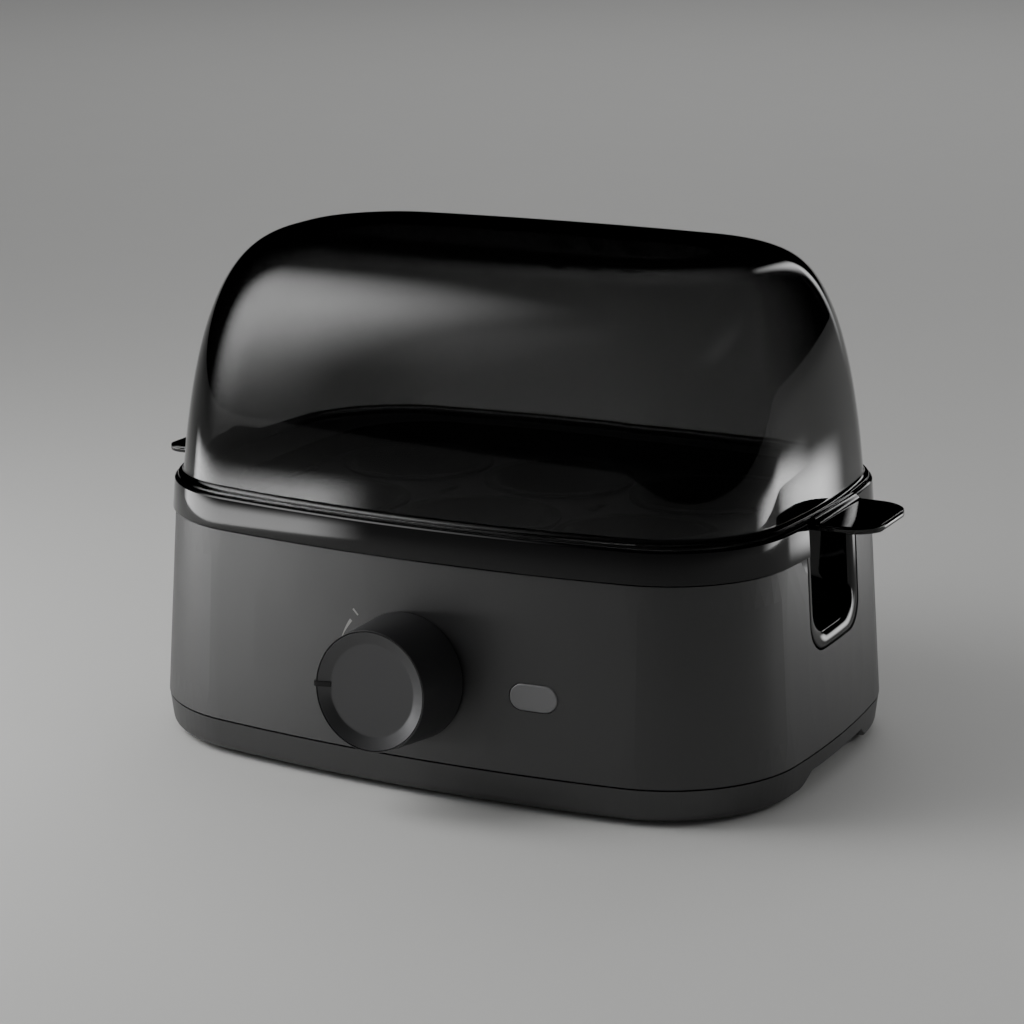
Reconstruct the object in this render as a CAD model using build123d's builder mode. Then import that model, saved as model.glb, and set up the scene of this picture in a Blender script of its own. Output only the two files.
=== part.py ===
"""Electric egg cooker: a drafted housing with a gloss band round its rim, a see-through lid
with two ears, a lift-out tray for six eggs, a heated water dish, a front dial and a push key.
Millimetres, +X along the long side, -Y the front, +Z up, standing on Z = 0."""
import math
import os

from build123d import *

os.makedirs("parts", exist_ok=True)

# Housing, measured at the seam between the housing and its base
body_half_length = 115.0
body_half_depth = 82.1
front_bow = 10.6
end_bow = 7.3
corner_radius = 47.3
seam_height = 13.0
wall_top = 75.8
wall_lean = 3.95
wall = 2.6

# Rim: the neck of the housing, the band clipped over it and what rests inside the band
neck_inset = 6.35
neck_wall = 2.0
neck_foot = 73.3
neck_top = 82.2
band_low_inset = 3.24
band_top_inset = 3.86
band_inner_inset = 6.2
band_top = 86.8
liner_flange_top = 83.7
tray_rim_low = 84.0
tray_rim_top = 85.4
lid_skirt_low = 85.7
lid_flange_low = 87.1
lid_flange_top = 88.1
lid_flange_inset = 5.0
rim_inset = 6.6

# Lid dome and ears
dome_foot = 89.0
dome_top = 166.1
dome_half_length = 108.2
dome_half_depth = 75.2
crown_half_length = 71.0
crown_half_depth = 25.0
dome_side_lean = 6.84
dome_corner = 40.4
crown_corner = 27.8
dome_wall = 2.4
dish_half_length = 67.0
dish_half_width = 20.0
dish_depth = 1.2
ear_low = 84.1
ear_top = 86.5
ear_root = 108.8
ear_tip = 130.6
ear_half_width = 18.3
ear_corner = 7.0

# Finger notches in the ends of the housing
notch_half_width = 21.3
notch_low = 44.0
notch_corner = 10.0
notch_top = 90.0
notch_cut_from = 98.0
notch_cut_reach = 25.0
pocket_gap = 0.15
pocket_lip = 0.6
pocket_lip_from = 106.0
pocket_wall = 1.8
pocket_scoop = 13.0
pocket_back = 93.0
pocket_mouth = 115.5

# Water dish and what lies under it
ledge_low = 52.5
ledge_top = 54.5
plate_low = 55.1
plate_top = 56.6
plate_rim_top = 58.6
plate_half_length = 88.3
plate_half_depth = 62.3
plate_corner = 36.0
opening_half_length = 84.5
opening_half_depth = 58.5
opening_corner = 33.0
element_radius = 3.3
element_half_gap = 30.0
element_height = 51.7
clamp_x = 62.0
clamp_y = 44.0
bracket_y = 18.0
leg_x = 88.0
leg_y = 46.0
leg_low = 14.0
leg_radius = 4.0
plate_boss_radius = 4.0
bracket_boss_radius = 3.5
bracket_boss_length = 9.0
fuse_drop = 2.3

# Screws and the holes for them
case_screw_radius = 1.5
case_pilot_radius = 1.55
case_head_radius = 3.2
board_screw_radius = 1.2
board_pilot_radius = 1.25
board_head_radius = 2.5
board_head_height = 1.8
board_hole_radius = 1.5
clamp_bolt_radius = 2.0
fit_gap = 0.05

# Egg tray
pan_half_length = 89.8
pan_half_depth = 67.5
pan_corner = 36.0
pan_low = 76.0
tray_wall = 1.6
cup_pitch_x = 56.0
cup_pitch_y = 60.0
cup_top_radius = 23.0
cup_low_radius = 17.0
cup_low = 68.0
seat_flange_radius = 26.6
seat_flange_height = 1.2
slot_width = 3.4

# Dial and key: distances are measured square to the front wall, outwards from its middle at
# the dial's height, and heights along the wall from the dial's centre
dial_height = 39.0
dial_back = 0.6
dial_front = 22.8
dial_back_radius = 20.6
dial_front_radius = 19.1
dial_disc_radius = 14.7
dial_web_front = 20.5
shaft_radius = 3.0
bush_radius = 4.4
running_gap = 0.05
key_x = 43.85
key_rise = -1.2
key_length = 15.7
key_width = 8.4
key_gap = 0.25
key_proud = 0.35
key_flange_front = -5.5

# Control board behind the front wall, measured the same way
board_front = -14.3
board_thickness = 1.6
board_low = -17.0
board_high = 11.0
board_left = -23.0
board_right = 64.0
board_screw_x = (-18.5, 59.5)
board_screw_rise = (-13.0, 7.0)
board_boss_radius = 3.2

# Base and feet
base_low = 1.7
base_top = 12.75
base_floor_top = 4.3
base_low_inset = 1.3
base_edge_radius = 3.0
base_lip_height = 1.6
base_lip_inset = 2.9
arch_height = 5.5
arch_top_half_width = 22.0
arch_low_half_width = 31.0
well_radius = 5.5
well_bore = 3.8
well_floor = 9.0
foot_socket_depth = 1.2
foot_x = 72.0
foot_y = 58.0
foot_radius = 8.0
power_board_x = -15.0
power_board_y = 20.0
power_board_low = 12.0
power_board_length = 80.0
power_board_width = 50.0
power_post_x = 35.0
power_post_y = 20.0
power_post_radius = 3.0
gland_x = -40.0
gland_height = 26.0
gland_pad = 79.9
gland_boss_radius = 10.0
gland_flange_radius = 8.0
gland_body_radius = 6.0
gland_bore = 3.6
gland_window_half_width = 14.0
gland_window_top = 40.0
gland_window_corner = 4.0
gland_rim_width = 3.0
gland_rim_thickness = 1.5

sides = (1, -1)
lean = math.radians(wall_lean)
lean_per_mm = math.tan(lean)
wall_reach = body_half_depth - (dial_height - seam_height) * lean_per_mm
dial_reach = wall_reach + dial_front * math.cos(lean) + dial_front_radius * math.sin(lean)

# The dial reaches further forward than the housing reaches back, so the housing's own
# centre stands behind the middle of the whole object by half the difference
body_y = (dial_reach - body_half_depth) / 2


def level(height):
    """Horizontal plane at a height, centred on the housing."""
    return Plane((0, body_y, height))


def along_wall(distance):
    """Plane along the leaning front wall, a distance outside it, centred on the dial."""
    y = body_y - wall_reach - distance * math.cos(lean)
    z = dial_height + distance * math.sin(lean)
    return Plane((0, y, z), x_dir=(1, 0, 0), z_dir=(0, -math.cos(lean), math.sin(lean)))


def facing_back(distance):
    """Upright plane behind the housing's centre, its normal pointing to the back."""
    return Plane((0, body_y + distance, 0), x_dir=(-1, 0, 0), z_dir=(0, 1, 0))


def facing_end(distance):
    """Upright plane beside the housing's centre, its normal along +X."""
    return Plane((distance, body_y, 0), x_dir=(0, 1, 0), z_dir=(1, 0, 0))


def bowed_face(half_length, half_depth, end_rise, front_rise, corner, height):
    """Rectangle with four gently bowed sides and round corners, at a height."""
    x = half_length - end_rise
    y = half_depth - front_rise
    with BuildSketch(level(height)) as face:
        with BuildLine():
            ThreePointArc((-x, -y), (0, -half_depth), (x, -y))
            ThreePointArc((x, -y), (half_length, 0), (x, y))
            ThreePointArc((x, y), (0, half_depth), (-x, y))
            ThreePointArc((-x, y), (-half_length, 0), (-x, -y))
        make_face()
        fillet(face.vertices(), corner)
    return face.sketch


def body_face(inset, height):
    """The housing's outline, drawn in by an inset."""
    return bowed_face(
        body_half_length - inset,
        body_half_depth - inset,
        end_bow,
        front_bow,
        corner_radius - inset,
        height,
    )


def dome_face(rise, thickness=0.0):
    """The lid's outline at a share of its rise, 0 at the foot and 1 at the crown."""
    end_share = (1 - rise**1.2) ** (1 / 3.84)
    side_share = (1 - rise**3.34) ** (1 / 2.97)
    side_reach = dome_half_depth - thickness - crown_half_depth - dome_side_lean * rise
    half_length = crown_half_length + (dome_half_length - thickness - crown_half_length) * end_share
    half_depth = crown_half_depth + side_reach * side_share
    corner = crown_corner + (dome_corner - crown_corner) * side_share
    corner = min(corner, 0.93 * half_depth)
    front_rise = min(front_bow * half_length / dome_half_length, half_depth - corner - 0.2)
    end_rise = min(end_bow * half_depth / dome_half_depth, 0.9 * (half_depth - corner))
    height = dome_foot + (dome_top - thickness - dome_foot) * rise
    return bowed_face(half_length, half_depth, end_rise, front_rise, corner, height)


def notch_face(half_width, low, corner, distance):
    """Upright slot with round lower corners and an open top, at a distance along X."""
    with BuildSketch(facing_end(distance)) as face:
        with Locations((0, (low + notch_top) / 2)):
            Rectangle(2 * half_width, notch_top - low)
        fillet(face.vertices().group_by(Axis.Y)[0], corner)
    return face.sketch


def wall_setback(x):
    """How far the bowed front wall falls back from its middle, at a distance along it."""
    half_chord = body_half_length - end_bow
    radius = (half_chord**2 + front_bow**2) / (2 * front_bow)
    return radius - math.sqrt(radius**2 - x**2)


def housing_space(gap, top):
    """The room inside the housing and its neck, drawn in by a gap."""
    with BuildPart() as space:
        extrude(body_face(wall + gap, seam_height - 1), amount=neck_foot - seam_height + 1, taper=wall_lean)
        extrude(body_face(neck_inset + neck_wall + gap, neck_foot), amount=top - neck_foot)
    return space.part


def notch_block(side):
    """The block that opens the finger notch in one end."""
    with BuildPart() as block:
        mouth = notch_face(notch_half_width, notch_low, notch_corner, side * notch_cut_from)
        extrude(mouth, amount=side * notch_cut_reach)
    return block.part


def pocket_solid(margin):
    """The right finger pocket as a solid block, scooped towards its back, grown by a margin."""
    depth = pocket_mouth - pocket_back + margin
    sections = []
    for share in (0, 0.3, 0.55, 0.75, 0.88, 0.96, 1):
        scoop = pocket_scoop * (1 - math.sqrt(1 - share**2))
        half_width = notch_half_width - pocket_lip + margin - scoop
        low = notch_low + pocket_lip - margin + scoop
        corner = min(notch_corner + margin, 0.9 * half_width)
        sections.append(notch_face(half_width, low, corner, pocket_mouth - depth * share))
    with BuildPart() as block:
        loft(sections, ruled=True)
    return block.part


def gland_window(margin, low):
    """The block through the back wall where the gland's plate stands, grown by a margin."""
    height = gland_window_top + margin - low
    with BuildPart() as block:
        with BuildSketch(facing_back(gland_pad - 8)) as window:
            with Locations((-gland_x, low + height / 2)):
                Rectangle(2 * (gland_window_half_width + margin), height)
            fillet(window.vertices().group_by(Axis.Y)[-1], gland_window_corner)
        extrude(amount=12)
    return block.part


def finish(part, name):
    """Labels a finished piece and writes it."""
    part.label = name
    export_step(part, f"parts/{name}.step")
    print(name, round(part.volume), "mm3,", len(part.solids()), "solids")


# Housing
with BuildPart() as body_shell:
    extrude(body_face(0, seam_height), amount=wall_top - seam_height, taper=wall_lean)
    extrude(body_face(neck_inset, neck_foot), amount=neck_top - neck_foot)
    add(housing_space(0, neck_top + 1), mode=Mode.SUBTRACT)
    for side in sides:
        add(notch_block(side), mode=Mode.SUBTRACT)
    for x in board_screw_x:
        for rise in board_screw_rise:
            with BuildSketch(along_wall(board_front + 0.1)) as boss:
                with Locations((x, rise)):
                    Circle(board_boss_radius)
            extrude(amount=-board_front - 0.1 - wall / 2 - wall_setback(x))
            with BuildSketch(along_wall(board_front)) as pilot:
                with Locations((x, rise)):
                    Circle(board_pilot_radius)
            extrude(amount=7, mode=Mode.SUBTRACT)
    with BuildSketch(along_wall(-10)) as openings:
        Circle(bush_radius + 0.2)
        with Locations((key_x, key_rise)):
            SlotOverall(key_length + 2 * key_gap, key_width + 2 * key_gap)
    extrude(amount=20, mode=Mode.SUBTRACT)
    add(gland_window(0, seam_height - 1), mode=Mode.SUBTRACT)
finish(body_shell.part, "body_shell")

# Base, with its arches between the feet
with BuildPart() as base_room:
    extrude(body_face(6.5, base_floor_top), amount=6)
    with BuildSketch(level(base_floor_top)) as between_arches:
        Rectangle(192, 200)
    extrude(amount=6, mode=Mode.INTERSECT)
    extrude(body_face(4.4, base_floor_top + 5), amount=8)

with BuildPart() as base_cover:
    loft([body_face(base_low_inset, base_low), body_face(0.15, base_top)], ruled=True)
    fillet(base_cover.faces().sort_by(Axis.Z)[0].edges(), base_edge_radius)
    extrude(body_face(base_lip_inset, base_top), amount=base_lip_height)
    add(base_room.part, mode=Mode.SUBTRACT)
    for side in sides:
        with BuildSketch(facing_end(side * 101)) as arch:
            with BuildLine():
                Polyline(
                    (-arch_low_half_width, base_low - 1),
                    (-arch_low_half_width, base_low),
                    (-arch_top_half_width, base_low + arch_height),
                    (arch_top_half_width, base_low + arch_height),
                    (arch_low_half_width, base_low),
                    (arch_low_half_width, base_low - 1),
                    close=True,
                )
            make_face()
        extrude(amount=side * 16, mode=Mode.SUBTRACT)
    with BuildSketch(level(base_floor_top - 1)) as posts:
        with Locations((power_board_x, power_board_y)):
            with GridLocations(2 * power_post_x, 2 * power_post_y, 2, 2):
                Circle(power_post_radius)
    extrude(amount=power_board_low - fit_gap - base_floor_top + 1)
    with BuildSketch(level(base_low)) as wells:
        with GridLocations(2 * leg_x, 2 * leg_y, 2, 2):
            Circle(well_radius)
    extrude(amount=leg_low - 0.1 - base_low)
    with BuildSketch(level(base_low - 1)) as screw_rooms:
        with GridLocations(2 * leg_x, 2 * leg_y, 2, 2):
            Circle(well_bore)
    extrude(amount=well_floor - base_low + 1, mode=Mode.SUBTRACT)
    with BuildSketch(level(base_low)) as screw_holes:
        with GridLocations(2 * leg_x, 2 * leg_y, 2, 2):
            Circle(case_screw_radius + 0.2)
    extrude(amount=20, mode=Mode.SUBTRACT)
    with BuildSketch(level(base_low)) as foot_sockets:
        with GridLocations(2 * foot_x, 2 * foot_y, 2, 2):
            Circle(foot_radius + 0.1)
    extrude(amount=foot_socket_depth, mode=Mode.SUBTRACT)
    with BuildSketch(level(base_low)) as vents:
        with Locations((52, 0)):
            with GridLocations(0, 8, 1, 6):
                SlotOverall(26, 3)
    extrude(amount=4, mode=Mode.SUBTRACT)
    with BuildSketch(level(base_floor_top + 1)) as post_pilots:
        with Locations((power_board_x, power_board_y)):
            with GridLocations(2 * power_post_x, 2 * power_post_y, 2, 2):
                Circle(board_pilot_radius)
    extrude(amount=10, mode=Mode.SUBTRACT)
finish(base_cover.part, "base_cover")

with BuildPart() as rubber_feet:
    with BuildSketch(level(0)) as pads:
        with GridLocations(2 * foot_x, 2 * foot_y, 2, 2):
            Circle(foot_radius)
    extrude(amount=base_low + foot_socket_depth - fit_gap)
    fillet(rubber_feet.edges().filter_by(GeomType.CIRCLE).group_by(Axis.Z)[0], 0.6)
finish(rubber_feet.part, "rubber_feet")

with BuildPart() as base_screws:
    with BuildSketch(level(well_floor - fit_gap)) as heads:
        with GridLocations(2 * leg_x, 2 * leg_y, 2, 2):
            Circle(case_head_radius)
    extrude(amount=-2.55)
    with BuildSketch(level(well_floor - 0.1)) as shanks:
        with GridLocations(2 * leg_x, 2 * leg_y, 2, 2):
            Circle(case_screw_radius)
    extrude(amount=19)
    with BuildSketch(level(well_floor - 2.7)) as recesses:
        with GridLocations(2 * leg_x, 2 * leg_y, 2, 2):
            Rectangle(3.6, 0.8)
            Rectangle(0.8, 3.6)
    extrude(amount=1.4, mode=Mode.SUBTRACT)
finish(base_screws.part, "base_screws")

# Gloss band clipped over the neck
band_low = wall_top + 0.15
band_lean = math.degrees(math.atan2(band_top_inset - band_low_inset, band_top - band_low))
with BuildPart() as trim_band:
    extrude(body_face(band_low_inset, band_low), amount=band_top - band_low, taper=band_lean)
    chamfer(trim_band.faces().sort_by(Axis.Z)[-1].edges(), 0.5)
    fillet(trim_band.faces().sort_by(Axis.Z)[0].edges(), 0.9)
    extrude(body_face(band_inner_inset, wall_top), amount=band_top, mode=Mode.SUBTRACT)
    for side in sides:
        add(notch_block(side), mode=Mode.SUBTRACT)
finish(trim_band.part, "trim_band")

# Gloss black finger pockets: scooped bowls whose lips fill the notches, flush with the walls
with BuildPart() as pocket_bowl:
    add(pocket_solid(pocket_wall))
    add(housing_space(pocket_gap, liner_flange_top), mode=Mode.INTERSECT)

with BuildPart() as finger_pockets:
    lip_mouth = notch_face(
        notch_half_width - pocket_gap,
        notch_low + pocket_gap,
        notch_corner - pocket_gap,
        pocket_lip_from,
    )
    extrude(lip_mouth, amount=notch_cut_reach)
    extrude(
        body_face(0, seam_height),
        amount=liner_flange_top - seam_height,
        taper=wall_lean,
        mode=Mode.INTERSECT,
    )
    add(pocket_bowl.part)
    add(pocket_solid(0), mode=Mode.SUBTRACT)
    mirror(about=Plane.YZ)
finish(finger_pockets.part, "finger_pockets")

# Liner: the black inner wall with its flange, ledge and legs, open where the pockets stand
with BuildPart() as inner_liner:
    loft([body_face(15.0, ledge_low), body_face(9.5, neck_top + 0.1)], ruled=True)
    extrude(body_face(band_inner_inset + 0.3, neck_top + 0.1), amount=liner_flange_top - neck_top - 0.1)
    loft([body_face(17.0, ledge_top), body_face(11.5, liner_flange_top)], ruled=True, mode=Mode.SUBTRACT)
    opening = bowed_face(opening_half_length, opening_half_depth, 5, 8, opening_corner, ledge_low - 1)
    extrude(opening, amount=5, mode=Mode.SUBTRACT)
    add(pocket_solid(pocket_wall + pocket_gap), mode=Mode.SUBTRACT)
    mirror(pocket_solid(pocket_wall + pocket_gap), about=Plane.YZ, mode=Mode.SUBTRACT)
    with BuildSketch(level(leg_low)) as legs:
        with GridLocations(2 * leg_x, 2 * leg_y, 2, 2):
            Circle(leg_radius)
    extrude(amount=ledge_low + 0.5 - leg_low)
    with BuildSketch(level(leg_low)) as leg_pilots:
        with GridLocations(2 * leg_x, 2 * leg_y, 2, 2):
            Circle(case_pilot_radius)
    extrude(amount=20, mode=Mode.SUBTRACT)
finish(inner_liner.part, "inner_liner")

# Heating plate, its seal and the parts fixed to its underside
with BuildPart() as heating_plate:
    outline = bowed_face(plate_half_length, plate_half_depth, 5, 8, plate_corner, plate_low)
    extrude(outline, amount=plate_rim_top - plate_low)
    inside = bowed_face(plate_half_length - 2.5, plate_half_depth - 2.5, 5, 8, plate_corner - 2.5, plate_top)
    extrude(inside, amount=5, mode=Mode.SUBTRACT)
    with BuildSketch(level(plate_low)) as corner_bosses:
        with GridLocations(2 * clamp_x, 2 * clamp_y, 2, 2):
            Circle(plate_boss_radius)
    extrude(amount=-2.5)
    with BuildSketch(level(plate_low)) as bracket_bosses:
        with GridLocations(0, 2 * bracket_y, 1, 2):
            Circle(bracket_boss_radius)
    extrude(amount=-bracket_boss_length)
    with BuildSketch(level(plate_top - 0.5)) as corner_pilots:
        with GridLocations(2 * clamp_x, 2 * clamp_y, 2, 2):
            Circle(clamp_bolt_radius + fit_gap)
    extrude(amount=-5, mode=Mode.SUBTRACT)
    with BuildSketch(level(plate_low - 2)) as bracket_pilots:
        with GridLocations(0, 2 * bracket_y, 1, 2):
            Circle(case_pilot_radius)
    extrude(amount=-10, mode=Mode.SUBTRACT)
finish(heating_plate.part, "heating_plate")

with BuildPart() as plate_seal:
    outer = bowed_face(plate_half_length - 0.3, plate_half_depth - 0.3, 5, 8, plate_corner, ledge_top + 0.02)
    extrude(outer, amount=plate_low - ledge_top - 0.04)
    inner = bowed_face(opening_half_length + 0.5, opening_half_depth + 0.5, 5, 8, opening_corner, ledge_top)
    extrude(inner, amount=2, mode=Mode.SUBTRACT)
finish(plate_seal.part, "plate_seal")

element_path_left = -70.0
element_path_right = 45.0
with BuildPart() as heater_element:
    with BuildLine(level(element_height)) as element_path:
        Line((element_path_left, -element_half_gap), (element_path_right, -element_half_gap))
        ThreePointArc(
            (element_path_right, -element_half_gap),
            (element_path_right + element_half_gap, 0),
            (element_path_right, element_half_gap),
        )
        Line((element_path_right, element_half_gap), (element_path_left, element_half_gap))
    with BuildSketch(facing_end(element_path_left)) as element_section:
        with Locations((-element_half_gap, element_height)):
            Circle(element_radius)
    sweep(path=element_path.wires()[0])
finish(heater_element.part, "heater_element")

with BuildPart() as heater_pins:
    with BuildSketch(facing_end(element_path_left - fit_gap)) as pin_sections:
        with Locations((-element_half_gap, element_height), (element_half_gap, element_height)):
            Circle(1.2)
    extrude(amount=-11)
    with BuildSketch(facing_end(element_path_left - fit_gap)) as beads:
        with Locations((-element_half_gap, element_height), (element_half_gap, element_height)):
            Circle(2.8)
    extrude(amount=-3)
finish(heater_pins.part, "heater_pins")

with BuildPart() as plate_clamps:
    with BuildSketch(level(ledge_low - 1.6)) as bars:
        for x in (-clamp_x, clamp_x):
            for y in (-clamp_y, clamp_y):
                with Locations((x, y + math.copysign(6.5, y))):
                    RectangleRounded(11, 26, 2)
                with Locations((x, y)):
                    Circle(clamp_bolt_radius + 0.2, mode=Mode.SUBTRACT)
    extrude(amount=1.5)
finish(plate_clamps.part, "plate_clamps")

with BuildPart() as clamp_screws:
    with BuildSketch(level(ledge_low - 4.1)) as heads:
        with GridLocations(2 * clamp_x, 2 * clamp_y, 2, 2):
            RegularPolygon(3.5, 6)
    extrude(amount=2.45)
    with BuildSketch(level(ledge_low - 1.65)) as shanks:
        with GridLocations(2 * clamp_x, 2 * clamp_y, 2, 2):
            Circle(clamp_bolt_radius)
    extrude(amount=4.5)
finish(clamp_screws.part, "clamp_screws")

with BuildPart() as thermostat:
    with BuildSketch(level(plate_low - fit_gap)) as cap:
        Circle(8)
    extrude(amount=-bracket_boss_length)
    with BuildSketch(level(plate_low - bracket_boss_length - fit_gap)) as tabs:
        with Locations((-4.5, 0), (4.5, 0)):
            Rectangle(0.8, 5)
    extrude(amount=-7)
finish(thermostat.part, "thermostat")

with BuildPart() as thermostat_bracket:
    with BuildSketch(level(plate_low - bracket_boss_length - 0.1)) as strap:
        RectangleRounded(16, 46, 3)
        Circle(6.6, mode=Mode.SUBTRACT)
        with GridLocations(0, 2 * bracket_y, 1, 2):
            Circle(case_screw_radius + 0.2, mode=Mode.SUBTRACT)
    extrude(amount=-1)
finish(thermostat_bracket.part, "thermostat_bracket")

with BuildPart() as bracket_screws:
    with BuildSketch(level(plate_low - bracket_boss_length - 1.15)) as heads:
        with GridLocations(0, 2 * bracket_y, 1, 2):
            Circle(2.8)
    extrude(amount=-2)
    with BuildSketch(level(plate_low - bracket_boss_length - 1.2)) as shanks:
        with GridLocations(0, 2 * bracket_y, 1, 2):
            Circle(case_screw_radius)
    extrude(amount=7)
finish(bracket_screws.part, "bracket_screws")

with BuildPart() as thermal_fuse:
    with BuildSketch(facing_end(24)) as barrel:
        with Locations((0, plate_low - fuse_drop)):
            Circle(2.1)
    extrude(amount=12)
    with BuildSketch(facing_end(16)) as leads:
        with Locations((0, plate_low - fuse_drop)):
            Circle(0.5)
    extrude(amount=28)
finish(thermal_fuse.part, "thermal_fuse")



def pan_face(inset, height):
    """The outline of the tray's pan, drawn in by an inset."""
    return bowed_face(pan_half_length - inset, pan_half_depth - inset, 5, 8, pan_corner - inset, height)


# Egg tray: a pan hung from its rim, with six holes for the egg seats and slots for the steam
with BuildPart() as egg_tray:
    extrude(pan_face(0, pan_low), amount=tray_rim_low - fit_gap - pan_low)
    extrude(pan_face(tray_wall, pan_low + tray_wall), amount=20, mode=Mode.SUBTRACT)
    with BuildSketch(level(pan_low - 1)) as seat_holes:
        with GridLocations(cup_pitch_x, cup_pitch_y, 3, 2):
            Circle(cup_top_radius + tray_wall + 0.15)
    extrude(amount=5, mode=Mode.SUBTRACT)
    with BuildSketch(level(pan_low - 1)) as steam_slots:
        with GridLocations(cup_pitch_x, 0, 2, 1):
            SlotOverall(12, slot_width, rotation=90)
        with Locations((-84.6, 0), (84.6, 0)):
            SlotOverall(20, slot_width, rotation=90)
    extrude(amount=5, mode=Mode.SUBTRACT)
finish(egg_tray.part, "egg_tray")

with BuildPart() as tray_rim:
    extrude(body_face(rim_inset, tray_rim_low), amount=tray_rim_top - tray_rim_low)
    extrude(pan_face(tray_wall, tray_rim_low), amount=5, mode=Mode.SUBTRACT)
finish(tray_rim.part, "tray_rim")

# Egg seats: six conical rings that drop into the tray's holes
seat_top = pan_low + tray_wall + fit_gap
with BuildPart() as egg_seats:
    for x in (-cup_pitch_x, 0, cup_pitch_x):
        for y in (-cup_pitch_y / 2, cup_pitch_y / 2):
            with BuildSketch(Plane((x, body_y + y, 0), x_dir=(1, 0, 0), z_dir=(0, -1, 0))) as section:
                with BuildLine():
                    Polyline(
                        (cup_low_radius, cup_low),
                        (cup_low_radius + tray_wall, cup_low),
                        (cup_top_radius + tray_wall, pan_low - 0.4),
                        (cup_top_radius + tray_wall, seat_top),
                        (seat_flange_radius, seat_top),
                        (seat_flange_radius, seat_top + seat_flange_height),
                        (cup_top_radius + 0.6, seat_top + seat_flange_height),
                        (cup_top_radius, seat_top + seat_flange_height / 2),
                        close=True,
                    )
                make_face()
            revolve(axis=Axis((x, body_y + y, 0), (0, 0, 1)))
finish(egg_seats.part, "egg_seats")

# Lid: a thin dome with steam holes and a shallow dish in its crown
dome_rises = (0, 0.15, 0.3, 0.45, 0.6, 0.72, 0.82, 0.9, 0.95, 0.98, 1)
with BuildPart() as lid:
    loft([dome_face(rise) for rise in dome_rises])
    loft([dome_face(rise, dome_wall) for rise in dome_rises], mode=Mode.SUBTRACT)
    dish_mouth = bowed_face(dish_half_length, dish_half_width, 2.5, 3, 16, dome_top + 0.5)
    dish_floor = bowed_face(dish_half_length - 2, dish_half_width - 2, 2.5, 3, 14, dome_top - dish_depth)
    loft([dish_mouth, dish_floor], ruled=True, mode=Mode.SUBTRACT)
    with BuildSketch(Plane((0, body_y + 56, 120))) as steam_holes:
        with GridLocations(14, 0, 3, 1):
            Circle(2.2)
    extrude(amount=60, mode=Mode.SUBTRACT)
finish(lid.part, "lid")

# The lid's rim: the flange under the dome, a skirt inside the band and the two ears
with BuildPart() as lid_rim:
    loft([body_face(lid_flange_inset + 0.6, lid_flange_top), dome_face(0)], ruled=True)
    extrude(body_face(lid_flange_inset, lid_flange_low), amount=lid_flange_top - lid_flange_low)
    extrude(body_face(rim_inset, lid_skirt_low), amount=lid_flange_low - lid_skirt_low)
    extrude(dome_face(0, dome_wall), amount=lid_skirt_low - dome_foot, mode=Mode.SUBTRACT)
    for side in sides:
        with BuildSketch(level(ear_low)) as ear:
            with Locations((side * (ear_root + ear_tip) / 2, 0)):
                Rectangle(ear_tip - ear_root, 2 * ear_half_width)
            tip_corners = ear.vertices().sort_by(Axis.X, reverse=side > 0)[:2]
            fillet(tip_corners, ear_corner)
        extrude(amount=ear_top - ear_low)
        with BuildSketch(Plane((0, body_y - ear_half_width, 0), x_dir=(1, 0, 0), z_dir=(0, -1, 0))) as web:
            with BuildLine():
                Polyline(
                    (side * ear_root, ear_low),
                    (side * (ear_root + 4.5), ear_low),
                    (side * (ear_root + 4.5), ear_top),
                    (side * (ear_root + 2.6), ear_top + 0.5),
                    (side * (ear_root + 1.6), lid_flange_top),
                    (side * (ear_root - 1.8), lid_flange_top),
                    (side * (ear_root - 1.8), lid_flange_low),
                    (side * ear_root, lid_flange_low),
                    close=True,
                )
            make_face()
        extrude(amount=-2 * ear_half_width)
finish(lid_rim.part, "lid_rim")

# Dial and its shaft, on an axis square to the front wall
dial_axis = Axis(along_wall(0).origin, along_wall(0).z_dir)


def dial_ring(points):
    """Half outline in radius and distance outside the wall, to be turned about the dial's axis."""
    half_plane = Plane(along_wall(0).origin, x_dir=(1, 0, 0), z_dir=-along_wall(0).y_dir)
    with BuildSketch(half_plane) as half:
        with BuildLine():
            Polyline(*points, close=True)
        make_face()
    return half.sketch


barrel_wall = 2.0
hub_radius = 6.0
hub_back = dial_back + 4.4
web_back = dial_web_front - 1.9
rim_inner = dial_front_radius - 0.3
flat_height = 2.2
with BuildPart() as knob_barrel:
    outer = dial_ring(
        [
            (0, dial_back),
            (dial_back_radius - 0.5, dial_back),
            (dial_back_radius, dial_back + 0.5),
            (dial_front_radius, dial_front - 0.3),
            (dial_front_radius - 0.3, dial_front),
            (0, dial_front),
        ]
    )
    revolve(outer, axis=dial_axis)
    room = dial_ring(
        [
            (0, dial_back - 1),
            (dial_back_radius - barrel_wall, dial_back - 1),
            (dial_front_radius - barrel_wall, web_back),
            (0, web_back),
        ]
    )
    revolve(room, axis=dial_axis, mode=Mode.SUBTRACT)
    dish = dial_ring(
        [(0, dial_web_front), (rim_inner, dial_web_front), (rim_inner, dial_front + 1), (0, dial_front + 1)]
    )
    revolve(dish, axis=dial_axis, mode=Mode.SUBTRACT)
    with BuildSketch(along_wall(hub_back)) as hub:
        Circle(hub_radius)
    extrude(amount=web_back - hub_back + 0.5)
    with BuildSketch(along_wall(hub_back - 1)) as shaft_room:
        Circle(shaft_radius + running_gap)
        with Locations((0, flat_height + running_gap + 5)):
            Rectangle(20, 10, mode=Mode.SUBTRACT)
    extrude(amount=web_back - hub_back, mode=Mode.SUBTRACT)
    with BuildSketch(along_wall(dial_front - 4)) as pointer_slot:
        with Locations((-dial_front_radius, 0)):
            Rectangle(3, 1.7)
    extrude(amount=5, mode=Mode.SUBTRACT)
finish(knob_barrel.part, "knob_barrel")

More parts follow.
